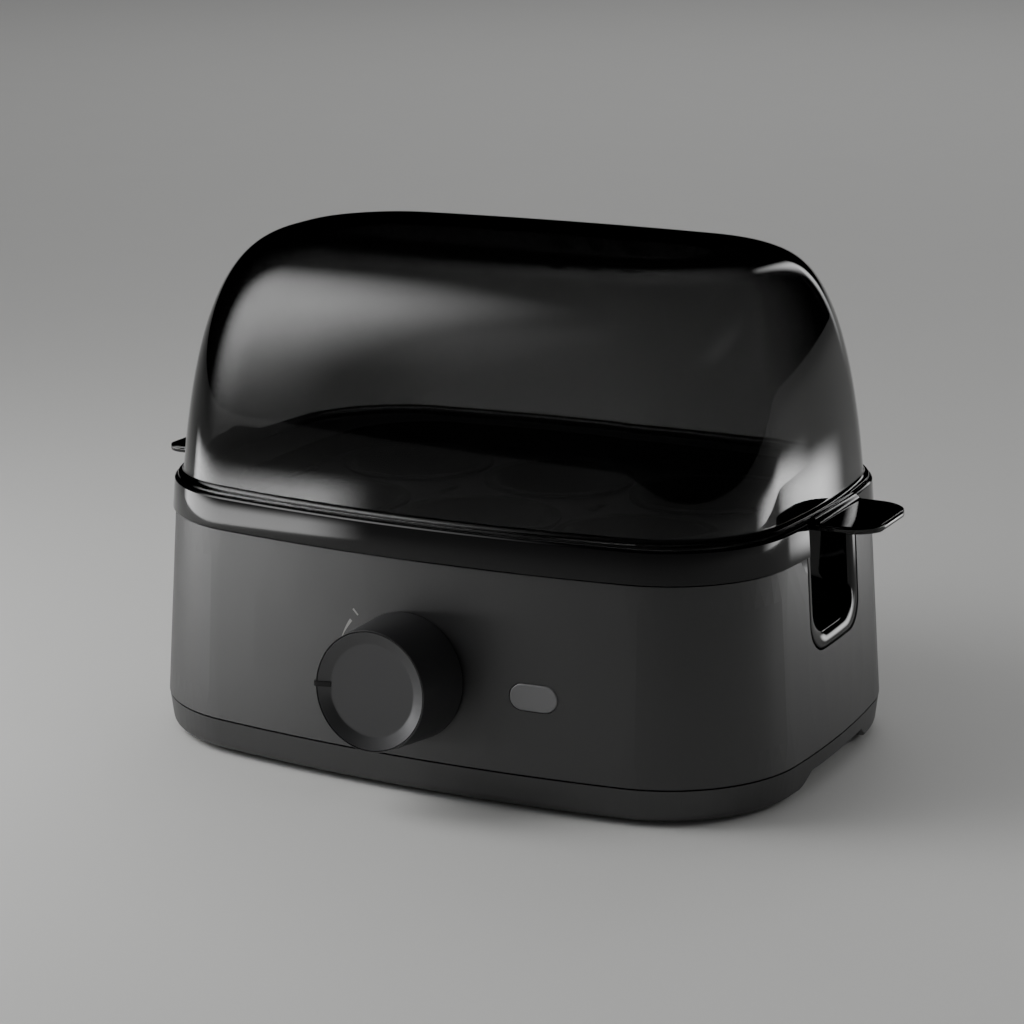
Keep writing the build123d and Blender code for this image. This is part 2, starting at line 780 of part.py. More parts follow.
face_radius = rim_inner - 0.25
with BuildPart() as knob_face:
    disc = dial_ring(
        [
            (0, dial_web_front + 0.1),
            (face_radius, dial_web_front + 0.1),
            (face_radius, dial_front - 0.35),
            (face_radius - 0.25, dial_front - 0.1),
            (dial_disc_radius, dial_front - 1.5),
            (0, dial_front - 1.5),
        ]
    )
    revolve(disc, axis=dial_axis)
    with BuildSketch(along_wall(dial_web_front)) as pointer_groove:
        with Locations((-dial_front_radius, 0)):
            Rectangle(2 * (dial_front_radius - dial_disc_radius + 0.4), 1.7)
    extrude(amount=5, mode=Mode.SUBTRACT)
finish(knob_face.part, "knob_face")

with BuildPart() as knob_pointer:
    with BuildSketch(Plane(along_wall(0).origin, x_dir=(-1, 0, 0), z_dir=along_wall(0).y_dir)) as blade:
        with BuildLine():
            Polyline(
                (dial_disc_radius - 0.3, dial_front - 1.25),
                (rim_inner - 0.5, dial_front + 0.1),
                (dial_front_radius + 0.4, dial_front + 0.1),
                (dial_front_radius + 0.9, dial_front - 0.5),
                (dial_front_radius + 0.9, dial_front - 3.4),
                (dial_front_radius - 1.4, dial_front - 3.4),
                (dial_front_radius - 1.4, dial_web_front + 0.1),
                (dial_disc_radius - 0.3, dial_web_front + 0.1),
                close=True,
            )
        make_face()
    extrude(amount=0.8, both=True)
finish(knob_pointer.part, "knob_pointer")

switch_back = board_front + fit_gap
switch_front = switch_back + 7
bush_front = 2.8
shaft_back = switch_back + 1.6
shaft_front = web_back - 1.5
with BuildPart() as selector_shaft:
    with BuildSketch(along_wall(shaft_back)) as shaft:
        Circle(shaft_radius)
    extrude(amount=shaft_front - shaft_back)
    with BuildSketch(along_wall(hub_back - 0.5)) as flat:
        with Locations((0, flat_height + 5)):
            Rectangle(20, 10)
    extrude(amount=20, mode=Mode.SUBTRACT)
finish(selector_shaft.part, "selector_shaft")

with BuildPart() as knob_clip:
    with BuildSketch(along_wall(hub_back + 1)) as ring:
        Circle(hub_radius + 0.65)
        Circle(hub_radius + fit_gap, mode=Mode.SUBTRACT)
        with Locations((0, -hub_radius)):
            Rectangle(1.5, 4, mode=Mode.SUBTRACT)
    extrude(amount=5)
finish(knob_clip.part, "knob_clip")

with BuildPart() as selector_switch:
    with BuildSketch(along_wall(switch_back)) as case:
        RectangleRounded(17, 17, 1)
    extrude(amount=switch_front - switch_back)
    with BuildSketch(along_wall(switch_front)) as bush:
        Circle(bush_radius)
    extrude(amount=bush_front - switch_front)
    with BuildSketch(along_wall(shaft_back - 0.1)) as bore:
        Circle(shaft_radius + running_gap)
    extrude(amount=30, mode=Mode.SUBTRACT)
finish(selector_switch.part, "selector_switch")

with BuildPart() as selector_nut:
    with BuildSketch(along_wall(0.1)) as hexagon:
        RegularPolygon(6, 6, major_radius=False)
        Circle(bush_radius + fit_gap, mode=Mode.SUBTRACT)
    extrude(amount=2)
finish(selector_nut.part, "selector_nut")

# Push key, its guide and the switch behind it
with BuildPart() as power_button:
    with BuildSketch(along_wall(key_flange_front)) as cap:
        with Locations((key_x, key_rise)):
            SlotOverall(key_length, key_width)
    extrude(amount=10)
    extrude(
        body_face(-key_proud, seam_height),
        amount=wall_top - seam_height,
        taper=wall_lean,
        mode=Mode.INTERSECT,
    )
    chamfer(power_button.faces().sort_by(Axis.Y)[0].edges(), 0.3)
    with BuildSketch(along_wall(key_flange_front)) as flange:
        with Locations((key_x, key_rise)):
            SlotOverall(key_length + 2.8, key_width + 2.8)
    extrude(amount=-1.1)
    with BuildSketch(along_wall(key_flange_front - 1)) as stem:
        with Locations((key_x, key_rise)):
            Circle(1.8)
    extrude(amount=-1.2)
finish(power_button.part, "power_button")

with BuildPart() as button_guide:
    with BuildSketch(along_wall(board_front + fit_gap)) as ring:
        with Locations((key_x, key_rise)):
            SlotOverall(key_length + 5.8, key_width + 5.8)
            SlotOverall(key_length + 3.4, key_width + 3.4, mode=Mode.SUBTRACT)
    extrude(amount=key_flange_front - board_front - 0.2)
finish(button_guide.part, "button_guide")

with BuildPart() as tact_switch:
    with BuildSketch(along_wall(board_front + fit_gap)) as case:
        with Locations((key_x, key_rise)):
            Rectangle(6, 6)
    extrude(amount=3.5)
    with BuildSketch(along_wall(board_front + 3.5)) as plunger:
        with Locations((key_x, key_rise)):
            Circle(1.7)
    extrude(amount=2)
finish(tact_switch.part, "tact_switch")

with BuildPart() as status_led:
    with BuildSketch(along_wall(board_front + fit_gap)) as lamp:
        with Locations((key_x + 5.6, key_rise)):
            Circle(1.5)
    extrude(amount=4)
    fillet(status_led.faces().sort_by(Axis.Y)[0].edges(), 1.2)
finish(status_led.part, "status_led")

with BuildPart() as buzzer:
    with BuildSketch(along_wall(board_front + fit_gap)) as can:
        with Locations((22, -3)):
            Circle(6)
    extrude(amount=7)
    with BuildSketch(along_wall(board_front + 5)) as sound_hole:
        with Locations((22, -3)):
            Circle(1)
    extrude(amount=3, mode=Mode.SUBTRACT)
finish(buzzer.part, "buzzer")

board_middle_x = (board_left + board_right) / 2
board_middle_rise = (board_low + board_high) / 2
with BuildPart() as control_board:
    with BuildSketch(along_wall(board_front)) as outline:
        with Locations((board_middle_x, board_middle_rise)):
            RectangleRounded(board_right - board_left, board_high - board_low, 2)
        for x in board_screw_x:
            for rise in board_screw_rise:
                with Locations((x, rise)):
                    Circle(board_hole_radius, mode=Mode.SUBTRACT)
    extrude(amount=-board_thickness)
finish(control_board.part, "control_board")

with BuildPart() as board_screws:
    for x in board_screw_x:
        for rise in board_screw_rise:
            with BuildSketch(along_wall(board_front - board_thickness - fit_gap)) as head:
                with Locations((x, rise)):
                    Circle(board_head_radius)
            extrude(amount=-board_head_height)
            with BuildSketch(along_wall(board_front - board_thickness - 0.1)) as shank:
                with Locations((x, rise)):
                    Circle(board_screw_radius)
            extrude(amount=7.5)
finish(board_screws.part, "board_screws")

# Power board on the base, with what is soldered to it
with BuildPart() as power_board:
    with BuildSketch(level(power_board_low)) as outline:
        with Locations((power_board_x, power_board_y)):
            RectangleRounded(power_board_length, power_board_width, 2)
            with GridLocations(2 * power_post_x, 2 * power_post_y, 2, 2):
                Circle(board_hole_radius, mode=Mode.SUBTRACT)
    extrude(amount=board_thickness)
finish(power_board.part, "power_board")

power_board_top = power_board_low + board_thickness
with BuildPart() as power_board_screws:
    with BuildSketch(level(power_board_top + fit_gap)) as heads:
        with Locations((power_board_x, power_board_y)):
            with GridLocations(2 * power_post_x, 2 * power_post_y, 2, 2):
                Circle(board_head_radius)
    extrude(amount=board_head_height)
    with BuildSketch(level(power_board_top + 0.1)) as shanks:
        with Locations((power_board_x, power_board_y)):
            with GridLocations(2 * power_post_x, 2 * power_post_y, 2, 2):
                Circle(board_screw_radius)
    extrude(amount=-6.5)
finish(power_board_screws.part, "power_board_screws")

with BuildPart() as relay:
    with BuildSketch(level(power_board_top + fit_gap)) as case:
        with Locations((power_board_x + 8, power_board_y - 10)):
            RectangleRounded(19, 15.5, 0.8)
    extrude(amount=15)
    chamfer(relay.faces().sort_by(Axis.Z)[-1].edges(), 0.5)
finish(relay.part, "relay")

with BuildPart() as capacitor:
    with BuildSketch(level(power_board_top + fit_gap)) as case:
        with Locations((power_board_x - 12, power_board_y - 12)):
            RectangleRounded(18, 8.5, 1)
    extrude(amount=14)
    chamfer(capacitor.faces().sort_by(Axis.Z)[-1].edges(), 0.6)
finish(capacitor.part, "capacitor")

with BuildPart() as terminal_block:
    with BuildSketch(level(power_board_top + fit_gap)) as case:
        with Locations((power_board_x - 12, power_board_y + 13)):
            Rectangle(30, 10)
    extrude(amount=12)
    chamfer(terminal_block.edges().filter_by(Axis.X).group_by(Axis.Z)[-1], 2)
    with BuildSketch(level(power_board_top + 4)) as screw_wells:
        with Locations((power_board_x - 12, power_board_y + 13)):
            with GridLocations(9.5, 0, 3, 1):
                Circle(2)
    extrude(amount=10, mode=Mode.SUBTRACT)
finish(terminal_block.part, "terminal_block")

# Plate in the back wall's open slot, held by a rim behind the wall and closed in by the base
with BuildPart() as gland_rim:
    add(gland_window(gland_rim_width, seam_height + 1))
    add(housing_space(0.1, neck_top), mode=Mode.INTERSECT)

with BuildPart() as gland_plate:
    extrude(body_face(0, seam_height), amount=wall_top - seam_height, taper=wall_lean)
    add(gland_window(-pocket_gap, seam_height - 1), mode=Mode.INTERSECT)
    add(gland_rim.part)
    add(housing_space(gland_rim_thickness, neck_top), mode=Mode.SUBTRACT)
    extrude(body_face(wall, seam_height - 1), amount=2.7, mode=Mode.SUBTRACT)
    with BuildSketch(facing_back(gland_pad)) as gland_boss:
        with Locations((-gland_x, gland_height)):
            Circle(gland_boss_radius)
    extrude(amount=-4.5)
    with BuildSketch(facing_back(gland_pad)) as gland_seat:
        with Locations((-gland_x, gland_height)):
            Circle(gland_flange_radius + 0.3)
    extrude(amount=5, mode=Mode.SUBTRACT)
    with BuildSketch(facing_back(gland_pad + 1)) as gland_hole:
        with Locations((-gland_x, gland_height)):
            Circle(gland_body_radius + 0.1)
    extrude(amount=-8, mode=Mode.SUBTRACT)
finish(gland_plate.part, "gland_plate")

# Gland for the mains lead
with BuildPart() as cord_gland:
    with BuildSketch(facing_back(gland_pad - 8)) as body:
        with Locations((-gland_x, gland_height)):
            Circle(gland_body_radius)
    extrude(amount=8.1)
    with BuildSketch(facing_back(gland_pad + 0.1)) as flange:
        with Locations((-gland_x, gland_height)):
            Circle(gland_flange_radius)
    extrude(amount=2)
    chamfer(cord_gland.faces().sort_by(Axis.Y)[-1].edges(), 0.6)
    with BuildSketch(facing_back(gland_pad - 8)) as inner_flange:
        with Locations((-gland_x, gland_height)):
            Circle(7.5)
    extrude(amount=2.5)
    with BuildSketch(facing_back(gland_pad - 10)) as bore:
        with Locations((-gland_x, gland_height)):
            Circle(gland_bore)
    extrude(amount=15, mode=Mode.SUBTRACT)
finish(cord_gland.part, "cord_gland")
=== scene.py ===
"""The looks of an electric egg cooker: a black drafted housing with a gloss band, a smoke lid with
two ears, a dial and a push key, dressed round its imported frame. Metres, +X along the long side,
-Y the front, +Z up."""
import math

import bmesh
import bpy
import numpy as np
from mathutils import Matrix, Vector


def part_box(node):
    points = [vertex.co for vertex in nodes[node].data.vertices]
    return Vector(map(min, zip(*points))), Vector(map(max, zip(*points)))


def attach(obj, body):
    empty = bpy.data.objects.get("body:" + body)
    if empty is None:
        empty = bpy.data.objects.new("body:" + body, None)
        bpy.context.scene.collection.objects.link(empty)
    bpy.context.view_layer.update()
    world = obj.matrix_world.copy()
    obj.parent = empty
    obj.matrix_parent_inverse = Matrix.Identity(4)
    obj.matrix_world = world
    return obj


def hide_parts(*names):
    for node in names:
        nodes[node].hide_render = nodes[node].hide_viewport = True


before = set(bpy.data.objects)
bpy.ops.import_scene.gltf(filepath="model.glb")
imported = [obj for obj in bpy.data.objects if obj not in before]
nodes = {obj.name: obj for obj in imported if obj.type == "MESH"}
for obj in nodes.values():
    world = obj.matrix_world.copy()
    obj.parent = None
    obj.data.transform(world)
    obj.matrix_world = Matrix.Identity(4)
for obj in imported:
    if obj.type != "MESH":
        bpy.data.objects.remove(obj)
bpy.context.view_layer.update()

bl_info = {
    "name": "Egg cooker",
    "version": (1, 0, 0),
    "blender": (4, 5, 0),
    "location": "View3D > Sidebar > Egg cooker",
    "description": "Builds the visible pieces of an egg cooker round its frame",
    "category": "Add Mesh",
}

MM = 0.001
dome_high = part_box("lid")[1]
rim_low, rim_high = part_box("lid_rim")
feet_low, feet_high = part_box("rubber_feet")

# The housing's outline at the parting line: lean of its walls, then lengths in millimetres
wall_lean = math.radians(3.95)
seam_height = 13.0
seam_half_length = 115.0
seam_half_depth = 82.1
end_bow = 7.3
front_bow = 10.6
seam_corner = 47.3

# The dome's foot in millimetres, and the powers of the superellipse that its sides follow
dome_half_length = 108.2
dome_half_depth = 75.2
side_power = 3.34
side_root = 2.97

# The housing's centre along Y, in millimetres, read from the feet, which stand round it
centre_y = (feet_low.y + feet_high.y) / 2 / MM

# How many points a rounded corner of a section has
round_points = 6


def linear(sheet_colour):
    """An sRGB hex colour as linear red, green, blue and a full alpha."""
    values = [int(sheet_colour[i : i + 2], 16) / 255 for i in (1, 3, 5)]
    return [v / 12.92 if v <= 0.04045 else ((v + 0.055) / 1.055) ** 2.4 for v in values] + [1.0]


def length(name, description, millimetres):
    """A length property whose default is given in millimetres."""
    return bpy.props.FloatProperty(
        name=name, description=description, default=millimetres * MM, unit="LENGTH", precision=5
    )


def colour(name, description, sheet_colour):
    """A colour property whose default is an sRGB hex colour."""
    return bpy.props.FloatVectorProperty(
        name=name, description=description, default=linear(sheet_colour), subtype="COLOR", size=4,
        min=0.0, max=1.0
    )


class EGGCOOKER_PG_lid(bpy.types.PropertyGroup):
    """Sizes of the lid and its ears."""

    flange_low: length("Flange underside", "Height of the flange's underside", 87.1)
    flange_top: length("Flange top", "Height of the flange's top", 88.1)
    flange_inset: length("Flange inset", "Flange edge inside the housing's seam outline", 5.0)
    skirt_low: length("Skirt foot", "Height of the foot of the skirt inside the band", 85.7)
    skirt_inset: length("Skirt inset", "Skirt inside the housing's seam outline", 6.6)
    dome_foot: length("Dome foot", "Height of the foot of the dome", 89.0)
    dome_wall: length("Dome wall", "Thickness of the dome", 2.4)
    fillet_height: length("Fillet height", "Height of the hollow round at the dome's foot", 1.8)
    fillet_width: length("Fillet width", "Width of the hollow round at the dome's foot", 1.5)
    dish_depth: length("Dish depth", "Depth of the shallow dish in the crown", 1.2)
    ear_thickness: length("Ear thickness", "Thickness of an ear", 2.4)
    ear_half_width: length("Ear half width", "Half the width of an ear", 18.3)
    right_ear_corner: length("Right ear corner", "Radius of the right ear's outer corners", 11.0)
    left_ear_corner: length("Left ear corner", "Radius of the left ear's outer corners", 6.0)


class EGGCOOKER_PG_dial(bpy.types.PropertyGroup):
    """Sizes of the dial, square to the leaning front wall."""

    height: length("Centre height", "Height of the dial's centre on the wall", 39.0)
    back: length("Back", "Gap between the wall and the dial's back edge", 0.6)
    front: length("Front", "Distance from the wall to the dial's front edge", 22.8)
    back_radius: length("Back radius", "Radius at the wall", 20.6)
    front_radius: length("Front radius", "Radius at the front edge", 19.1)
    disc_radius: length("Disc radius", "Radius of the flat disc in the cap", 14.7)
    rim_radius: length("Rim radius", "Inner radius of the barrel's rim", 18.8)
    cap_radius: length("Cap radius", "Outer radius of the cap", 18.55)
    scale_radius: length("Scale radius", "Radius of the printed arc on the wall", 25.4)


class EGGCOOKER_PG_colours(bpy.types.PropertyGroup):
    """Colours of the visible finishes."""

    housing: colour("Housing", "Satin black moulded housing", "#1d1d1e")
    base: colour("Base", "Satin black moulded base", "#1b1b1c")
    gloss: colour("Gloss trim", "Gloss black band and finger pockets", "#060607")
    smoke: colour("Lid", "What the lid's smoke tint leaves of white over a great depth", "#1d1d1f")
    barrel: colour("Dial barrel", "Satin black dial barrel", "#262627")
    cap: colour("Dial cap", "Dark metallic coat of the dial's cap", "#4a4a4b")
    key: colour("Key", "Grey push key", "#747475")
    tray: colour("Tray", "Black egg tray", "#060607")
    print_ink: colour("Scale print", "Light grey print of the dial's scale", "#a9a9a6")
    floor: colour("Floor", "Pale studio floor", "#dadad8")


def add_node(tree, kind, settings=None, links=None):
    """Adds a node, sets its options and unlinked inputs, and links its inputs to other sockets."""
    made = tree.nodes.new(kind)
    for name, value in (settings or {}).items():
        if isinstance(name, int) or name in made.inputs:
            made.inputs[name].default_value = value
        else:
            setattr(made, name, value)
    for name, socket in (links or {}).items():
        tree.links.new(socket, made.inputs[name])
    return made


def empty_material(name):
    """A new material without nodes, and its tree."""
    made = bpy.data.materials.new(name)
    made.use_nodes = True
    made.node_tree.nodes.clear()
    return made, made.node_tree


def moulded(name, tint, roughness, grain, relief, shader=None, spread=0.05, mottle=0.06):
    """A moulded finish: a fine grain of a size in millimetres and a relief in millimetres, with
    roughness and tone that drift a little over some centimetres."""
    made, tree = empty_material(name)
    place = add_node(tree, "ShaderNodeTexCoord").outputs["Object"]
    fine = add_node(
        tree, "ShaderNodeTexNoise", {"Scale": 1 / (grain * MM), "Detail": 3.0, "Roughness": 0.6},
        {"Vector": place}
    )
    drift = add_node(tree, "ShaderNodeTexNoise", {"Scale": 18.0, "Detail": 4.0}, {"Vector": place})
    rough = add_node(
        tree, "ShaderNodeMapRange",
        {"To Min": roughness - spread, "To Max": roughness + spread},
        {"Value": drift.outputs["Fac"]}
    )
    dark = [c * (1 - mottle) for c in tint[:3]] + [1.0]
    light = [min(1.0, c * (1 + mottle)) for c in tint[:3]] + [1.0]
    tone = add_node(
        tree, "ShaderNodeMix", {"data_type": "RGBA"}, {"Factor": drift.outputs["Fac"]}
    )
    tone.inputs["A"].default_value = dark
    tone.inputs["B"].default_value = light
    bump = add_node(
        tree, "ShaderNodeBump", {"Strength": 1.0, "Distance": relief * MM},
        {"Height": fine.outputs["Fac"]}
    )
    surface = add_node(
        tree, "ShaderNodeBsdfPrincipled", shader or {},
        {"Base Color": tone.outputs["Result"], "Roughness": rough.outputs["Result"],
         "Normal": bump.outputs["Normal"]}
    )
    add_node(tree, "ShaderNodeOutputMaterial", {}, {"Surface": surface.outputs["BSDF"]})
    return made


def smoke_clear(name, tint, density):
    """Smoke-tinted clear styrene acrylonitrile, polished in its mould. The tint soaks up light
    along the way through the wall.
    Where the wall is seen nearly edge-on, its base colour is also painted nearly black by the
    facing weight: painted shade for the dark rim that the long way through the tint gives. A faint
    drift in roughness keeps wide reflections from looking like ground glass. The density is per
    metre."""
    made, tree = empty_material(name)
    place = add_node(tree, "ShaderNodeTexCoord").outputs["Object"]
    drift = add_node(tree, "ShaderNodeTexNoise", {"Scale": 22.0, "Detail": 2.0}, {"Vector": place})
    rough = add_node(
        tree, "ShaderNodeMapRange", {"To Min": 0.015, "To Max": 0.05},
        {"Value": drift.outputs["Fac"]}
    )
    # Painted shade: the base colour (clear) turns from white to near black as the wall turns
    # edge-on to the view
    facing = add_node(tree, "ShaderNodeLayerWeight", {"Blend": 0.5})
    painted_edge_shade_share = add_node(
        tree, "ShaderNodeMapRange",
        {"interpolation_type": "SMOOTHSTEP", "From Min": 0.38, "From Max": 0.66},
        {"Value": facing.outputs["Facing"]}
    )
    clear = add_node(
        tree, "ShaderNodeMix", {"data_type": "RGBA"}, {"Factor": painted_edge_shade_share.outputs["Result"]}
    )
    clear.inputs["A"].default_value = (1.0, 1.0, 1.0, 1.0)
    clear.inputs["B"].default_value = (0.02, 0.02, 0.02, 1.0)
    surface = add_node(
        tree, "ShaderNodeBsdfPrincipled", {"Transmission Weight": 1.0, "IOR": 1.49},
        {"Base Color": clear.outputs["Result"], "Roughness": rough.outputs["Result"]}
    )
    soak = add_node(tree, "ShaderNodeVolumeAbsorption", {"Color": tint, "Density": density})
    add_node(
        tree, "ShaderNodeOutputMaterial", {},
        {"Surface": surface.outputs["BSDF"], "Volume": soak.outputs["Volume"]}
    )
    return made


def dress(made, *names):
    """Gives one material to CAD nodes."""
    for name in names:
        piece = nodes[name]
        piece.data.materials.clear()
        piece.data.materials.append(made)


def smooth_copy(name, node, finish, sharp=12.0):
    """A copy of a CAD node of the still body, in one finish, with its doubled points merged and
    its arcs shaded smoothly. Edges that turn by more than the angle stay sharp, and large faces
    lead the shading beside them."""
    form = bmesh.new()
    form.from_mesh(nodes[node].data)
    bmesh.ops.remove_doubles(form, verts=form.verts, dist=0.002 * MM)
    mesh = bpy.data.meshes.new(name)
    form.to_mesh(mesh)
    form.free()
    mesh.materials.clear()
    mesh.materials.append(finish)
    mesh.shade_smooth()
    mesh.set_sharp_from_angle(angle=math.radians(sharp))
    piece = bpy.data.objects.new(name, mesh)
    bpy.context.scene.collection.objects.link(piece)
    lead = piece.modifiers.new("large_faces_lead", "WEIGHTED_NORMAL")
    lead.keep_sharp = True
    lead.weight = 90
    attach(piece, "root")
    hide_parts(node)
    return piece


def quarter_outline(half_length, half_depth, end_rise, front_rise, corner, stop=0.0, front=20,
                    turn=22, end=14):
    """Quarters of outlines of a rectangle with four bowed sides and round corners, one row for each
    set of sizes. Each side is an arc through its middle and its two corners, and the corner circle
    touches both arcs. A quarter runs from the front's middle to the right end, where it stops at a
    distance in front of the end's middle. The last three values are the numbers of points along
    the front, the corner and the end."""
    a, b, se, sf, r = (np.atleast_1d(np.asarray(v, float)) for v in
                       (half_length, half_depth, end_rise, front_rise, corner))
    a, b, se, sf, r = np.broadcast_arrays(a, b, se, sf, r)
    xc, yc = a - se, b - sf
    front_radius = (xc * xc + sf * sf) / (2 * sf)
    end_radius = (yc * yc + se * se) / (2 * se)
    front_y = front_radius - b
    end_x = a - end_radius
    apart = np.hypot(end_x, front_y)
    r1, r2 = front_radius - r, end_radius - r
    along = (r1 * r1 - r2 * r2 + apart * apart) / (2 * apart)
    off = np.sqrt(np.maximum(r1 * r1 - along * along, 0))
    ux, uy = end_x / apart, -front_y / apart
    choices = [(along * ux - s * off * uy, front_y + along * uy + s * off * ux) for s in (1, -1)]
    pick = choices[0][0] - choices[0][1] > choices[1][0] - choices[1][1]
    cx = np.where(pick, choices[0][0], choices[1][0])
    cy = np.where(pick, choices[0][1], choices[1][1])
    leave = np.arctan2(cy - front_y, cx)
    meet = np.arctan2(cy, cx - end_x)
    first = np.linspace(0, 1, front)[None, :]
    second = np.linspace(0, 1, turn)[None, 1:]
    third = np.linspace(0, 1, end)[None, 1:]
    angle = -math.pi / 2 + (leave + math.pi / 2)[:, None] * first
    x = [front_radius[:, None] * np.cos(angle)]
    y = [front_y[:, None] + front_radius[:, None] * np.sin(angle)]
    angle = leave[:, None] + (meet - leave)[:, None] * second
    x.append(cx[:, None] + r[:, None] * np.cos(angle))
    y.append(cy[:, None] + r[:, None] * np.sin(angle))
    angle = meet[:, None] * (1 - third) - np.arcsin(stop / end_radius)[:, None] * third
    x.append(end_x[:, None] + end_radius[:, None] * np.cos(angle))
    y.append(end_radius[:, None] * np.sin(angle))
    return np.hstack(x), np.hstack(y)


def half_outline(sizes, stop):
    """The front halves of outlines, from one end to the other, each stopping short of the end's
    middle. Each is a quarter and its mirror image."""
    x, y = quarter_outline(*sizes.T, stop=stop)
    return np.hstack([-x[:, ::-1], x[:, 1:]]), np.hstack([y[:, ::-1], y[:, 1:]])


def outline(half_length, half_depth, end_rise, front_rise, corner):
    """Closed outlines, each a quarter mirrored to the other three."""
    x, y = quarter_outline(half_length, half_depth, end_rise, front_rise, corner)
    back_x, back_y = x[:, ::-1], -y[:, ::-1]
    half_x = np.hstack([x, back_x[:, 1:]])
    half_y = np.hstack([y, back_y[:, 1:]])
    return (np.hstack([half_x, -half_x[:, ::-1][:, 1:-1]]),
            np.hstack([half_y, half_y[:, ::-1][:, 1:-1]]))


def grid_piece(name, points, wrap_columns=True, caps=True, sharp=40.0):
    """A mesh from a grid of points in metres, shaped (rows, columns, 3). Neighbours make quads,
    the columns may close on themselves, and the first and last row may each be shut by a fan round
    its middle. The sign of the enclosed volume turns all faces outwards."""
    rows, columns = points.shape[:2]
    index = np.arange(rows * columns).reshape(rows, columns)
    looped = np.hstack([index, index[:, :1]]) if wrap_columns else index
    quads = np.stack([looped[:-1, :-1], looped[:-1, 1:], looped[1:, 1:], looped[1:, :-1]], -1)
    quads = quads.reshape(-1, 4)
    vertices = points.reshape(-1, 3)
    fans = np.empty((0, 3), int)
    if caps:
        middles = np.stack([points[0].mean(0), points[-1].mean(0)])
        vertices = np.vstack([vertices, middles])
        first, last = index[0], index[-1]
        low = np.stack([np.roll(first, -1), first, np.full(columns, rows * columns)], -1)
        high = np.stack([last, np.roll(last, -1), np.full(columns, rows * columns + 1)], -1)
        fans = np.vstack([low, high])
    triangles = np.vstack([quads[:, [0, 1, 2]], quads[:, [0, 2, 3]], fans])
    p, q, s = (vertices[triangles[:, i]] for i in range(3))
    if np.einsum("ij,ij->i", p, np.cross(q, s)).sum() < 0:
        quads, fans = quads[:, ::-1], fans[:, ::-1]
    mesh = bpy.data.meshes.new(name)
    mesh.from_pydata(vertices.tolist(), [], quads.tolist() + fans.tolist())
    mesh.validate()
    mesh.shade_smooth()
    mesh.set_sharp_from_angle(angle=math.radians(sharp))
    piece = bpy.data.objects.new(name, mesh)
    bpy.context.scene.collection.objects.link(piece)
    return piece


def rounded(corners, radii):
    """A closed polygon with its corners rounded, as one array of points. Each corner is replaced
    by a quadratic curve that starts and ends its radius away from it along the two sides."""
    corners = np.asarray(corners, float)
    radii = np.asarray(radii, float)[:, None]
    before = np.roll(corners, 1, 0) - corners
    after = np.roll(corners, -1, 0) - corners
    start = corners + before / np.linalg.norm(before, axis=1, keepdims=True) * radii
    finish = corners + after / np.linalg.norm(after, axis=1, keepdims=True) * radii
    t = np.linspace(0, 1, round_points)[None, :, None]
    curve = ((1 - t) ** 2 * start[:, None] + 2 * t * (1 - t) * corners[:, None]
             + t**2 * finish[:, None])
    return curve.reshape(-1, curve.shape[-1])


def smooth_step(t):
    """0 below 0, 1 above 1, with a smooth cubic between."""
    t = np.clip(t, 0, 1)
    return t * t * (3 - 2 * t)


def dome_sizes(rise, wall):
    """The lid's outline sizes in millimetres at shares of its rise: its ends and sides follow two
    superellipses from the foot to the crown, and its bow and corners shrink with the side's
    share. The corner radius is the smaller of two, a radius that grows with the side's share and
    most of the half depth, with a smooth change between them."""
    crown_half_length, crown_half_depth, crown_bow = 71.0, 25.0, 1.5
    end_power, end_root = 1.2, 3.84
    lean_in = 6.84
    crown_corner, corner_growth, blend = 27.8, 12.6, 16.0
    end_share = (1 - rise**end_power) ** (1 / end_root)
    side_share = (1 - rise**side_power) ** (1 / side_root)
    length_left = dome_half_length - wall - crown_half_length
    depth_left = dome_half_depth - wall - crown_half_depth - lean_in * rise
    half_length = crown_half_length + length_left * end_share
    half_depth = crown_half_depth + depth_left * side_share
    tight = crown_corner + corner_growth * side_share
    corner = (tight**-blend + (0.9 * half_depth) ** -blend) ** (-1 / blend)
    front_full = front_bow * half_length / dome_half_length
    end_full = end_bow * half_depth / dome_half_depth
    front_rise = crown_bow + (front_full - crown_bow) * smooth_step(side_share / 0.5)
    end_rise = crown_bow + (end_full - crown_bow) * smooth_step(side_share / 0.3)
    return np.stack([half_length, half_depth, end_rise, front_rise, corner], -1)


def seam_sizes(inset):
    """Sizes of the housing's seam outline drawn in by an inset in millimetres."""
    inset = np.atleast_1d(np.asarray(inset, float))
    bows = np.ones_like(inset)
    return np.stack([seam_half_length - inset, seam_half_depth - inset, end_bow * bows,
                     front_bow * bows, seam_corner - inset], -1)


def front_wall(x, z, proud=0.0):
    """Points on the housing's front in millimetres, a little proud of it: at each height the front
    is an arc whose radius shrinks as the wall leans in."""
    half_chord = seam_half_length - end_bow
    radius = (half_chord**2 + front_bow**2) / (2 * front_bow)
    middle = centre_y - seam_half_depth + radius
    reach = radius - (z - seam_height) * math.tan(wall_lean) + proud
    return np.stack([x, middle - np.sqrt(reach**2 - x**2), z], -1)


def end_wall(y, z):
    """How far the housing's right end reaches along X in millimetres, at places across it and
    heights: an arc across the end that shrinks as the wall leans in."""
    half_chord = seam_half_depth - front_bow
    radius = (half_chord**2 + end_bow**2) / (2 * end_bow)
    reach = radius - (z - seam_height) * math.tan(wall_lean)
    return seam_half_length - radius + np.sqrt(reach**2 - y**2)


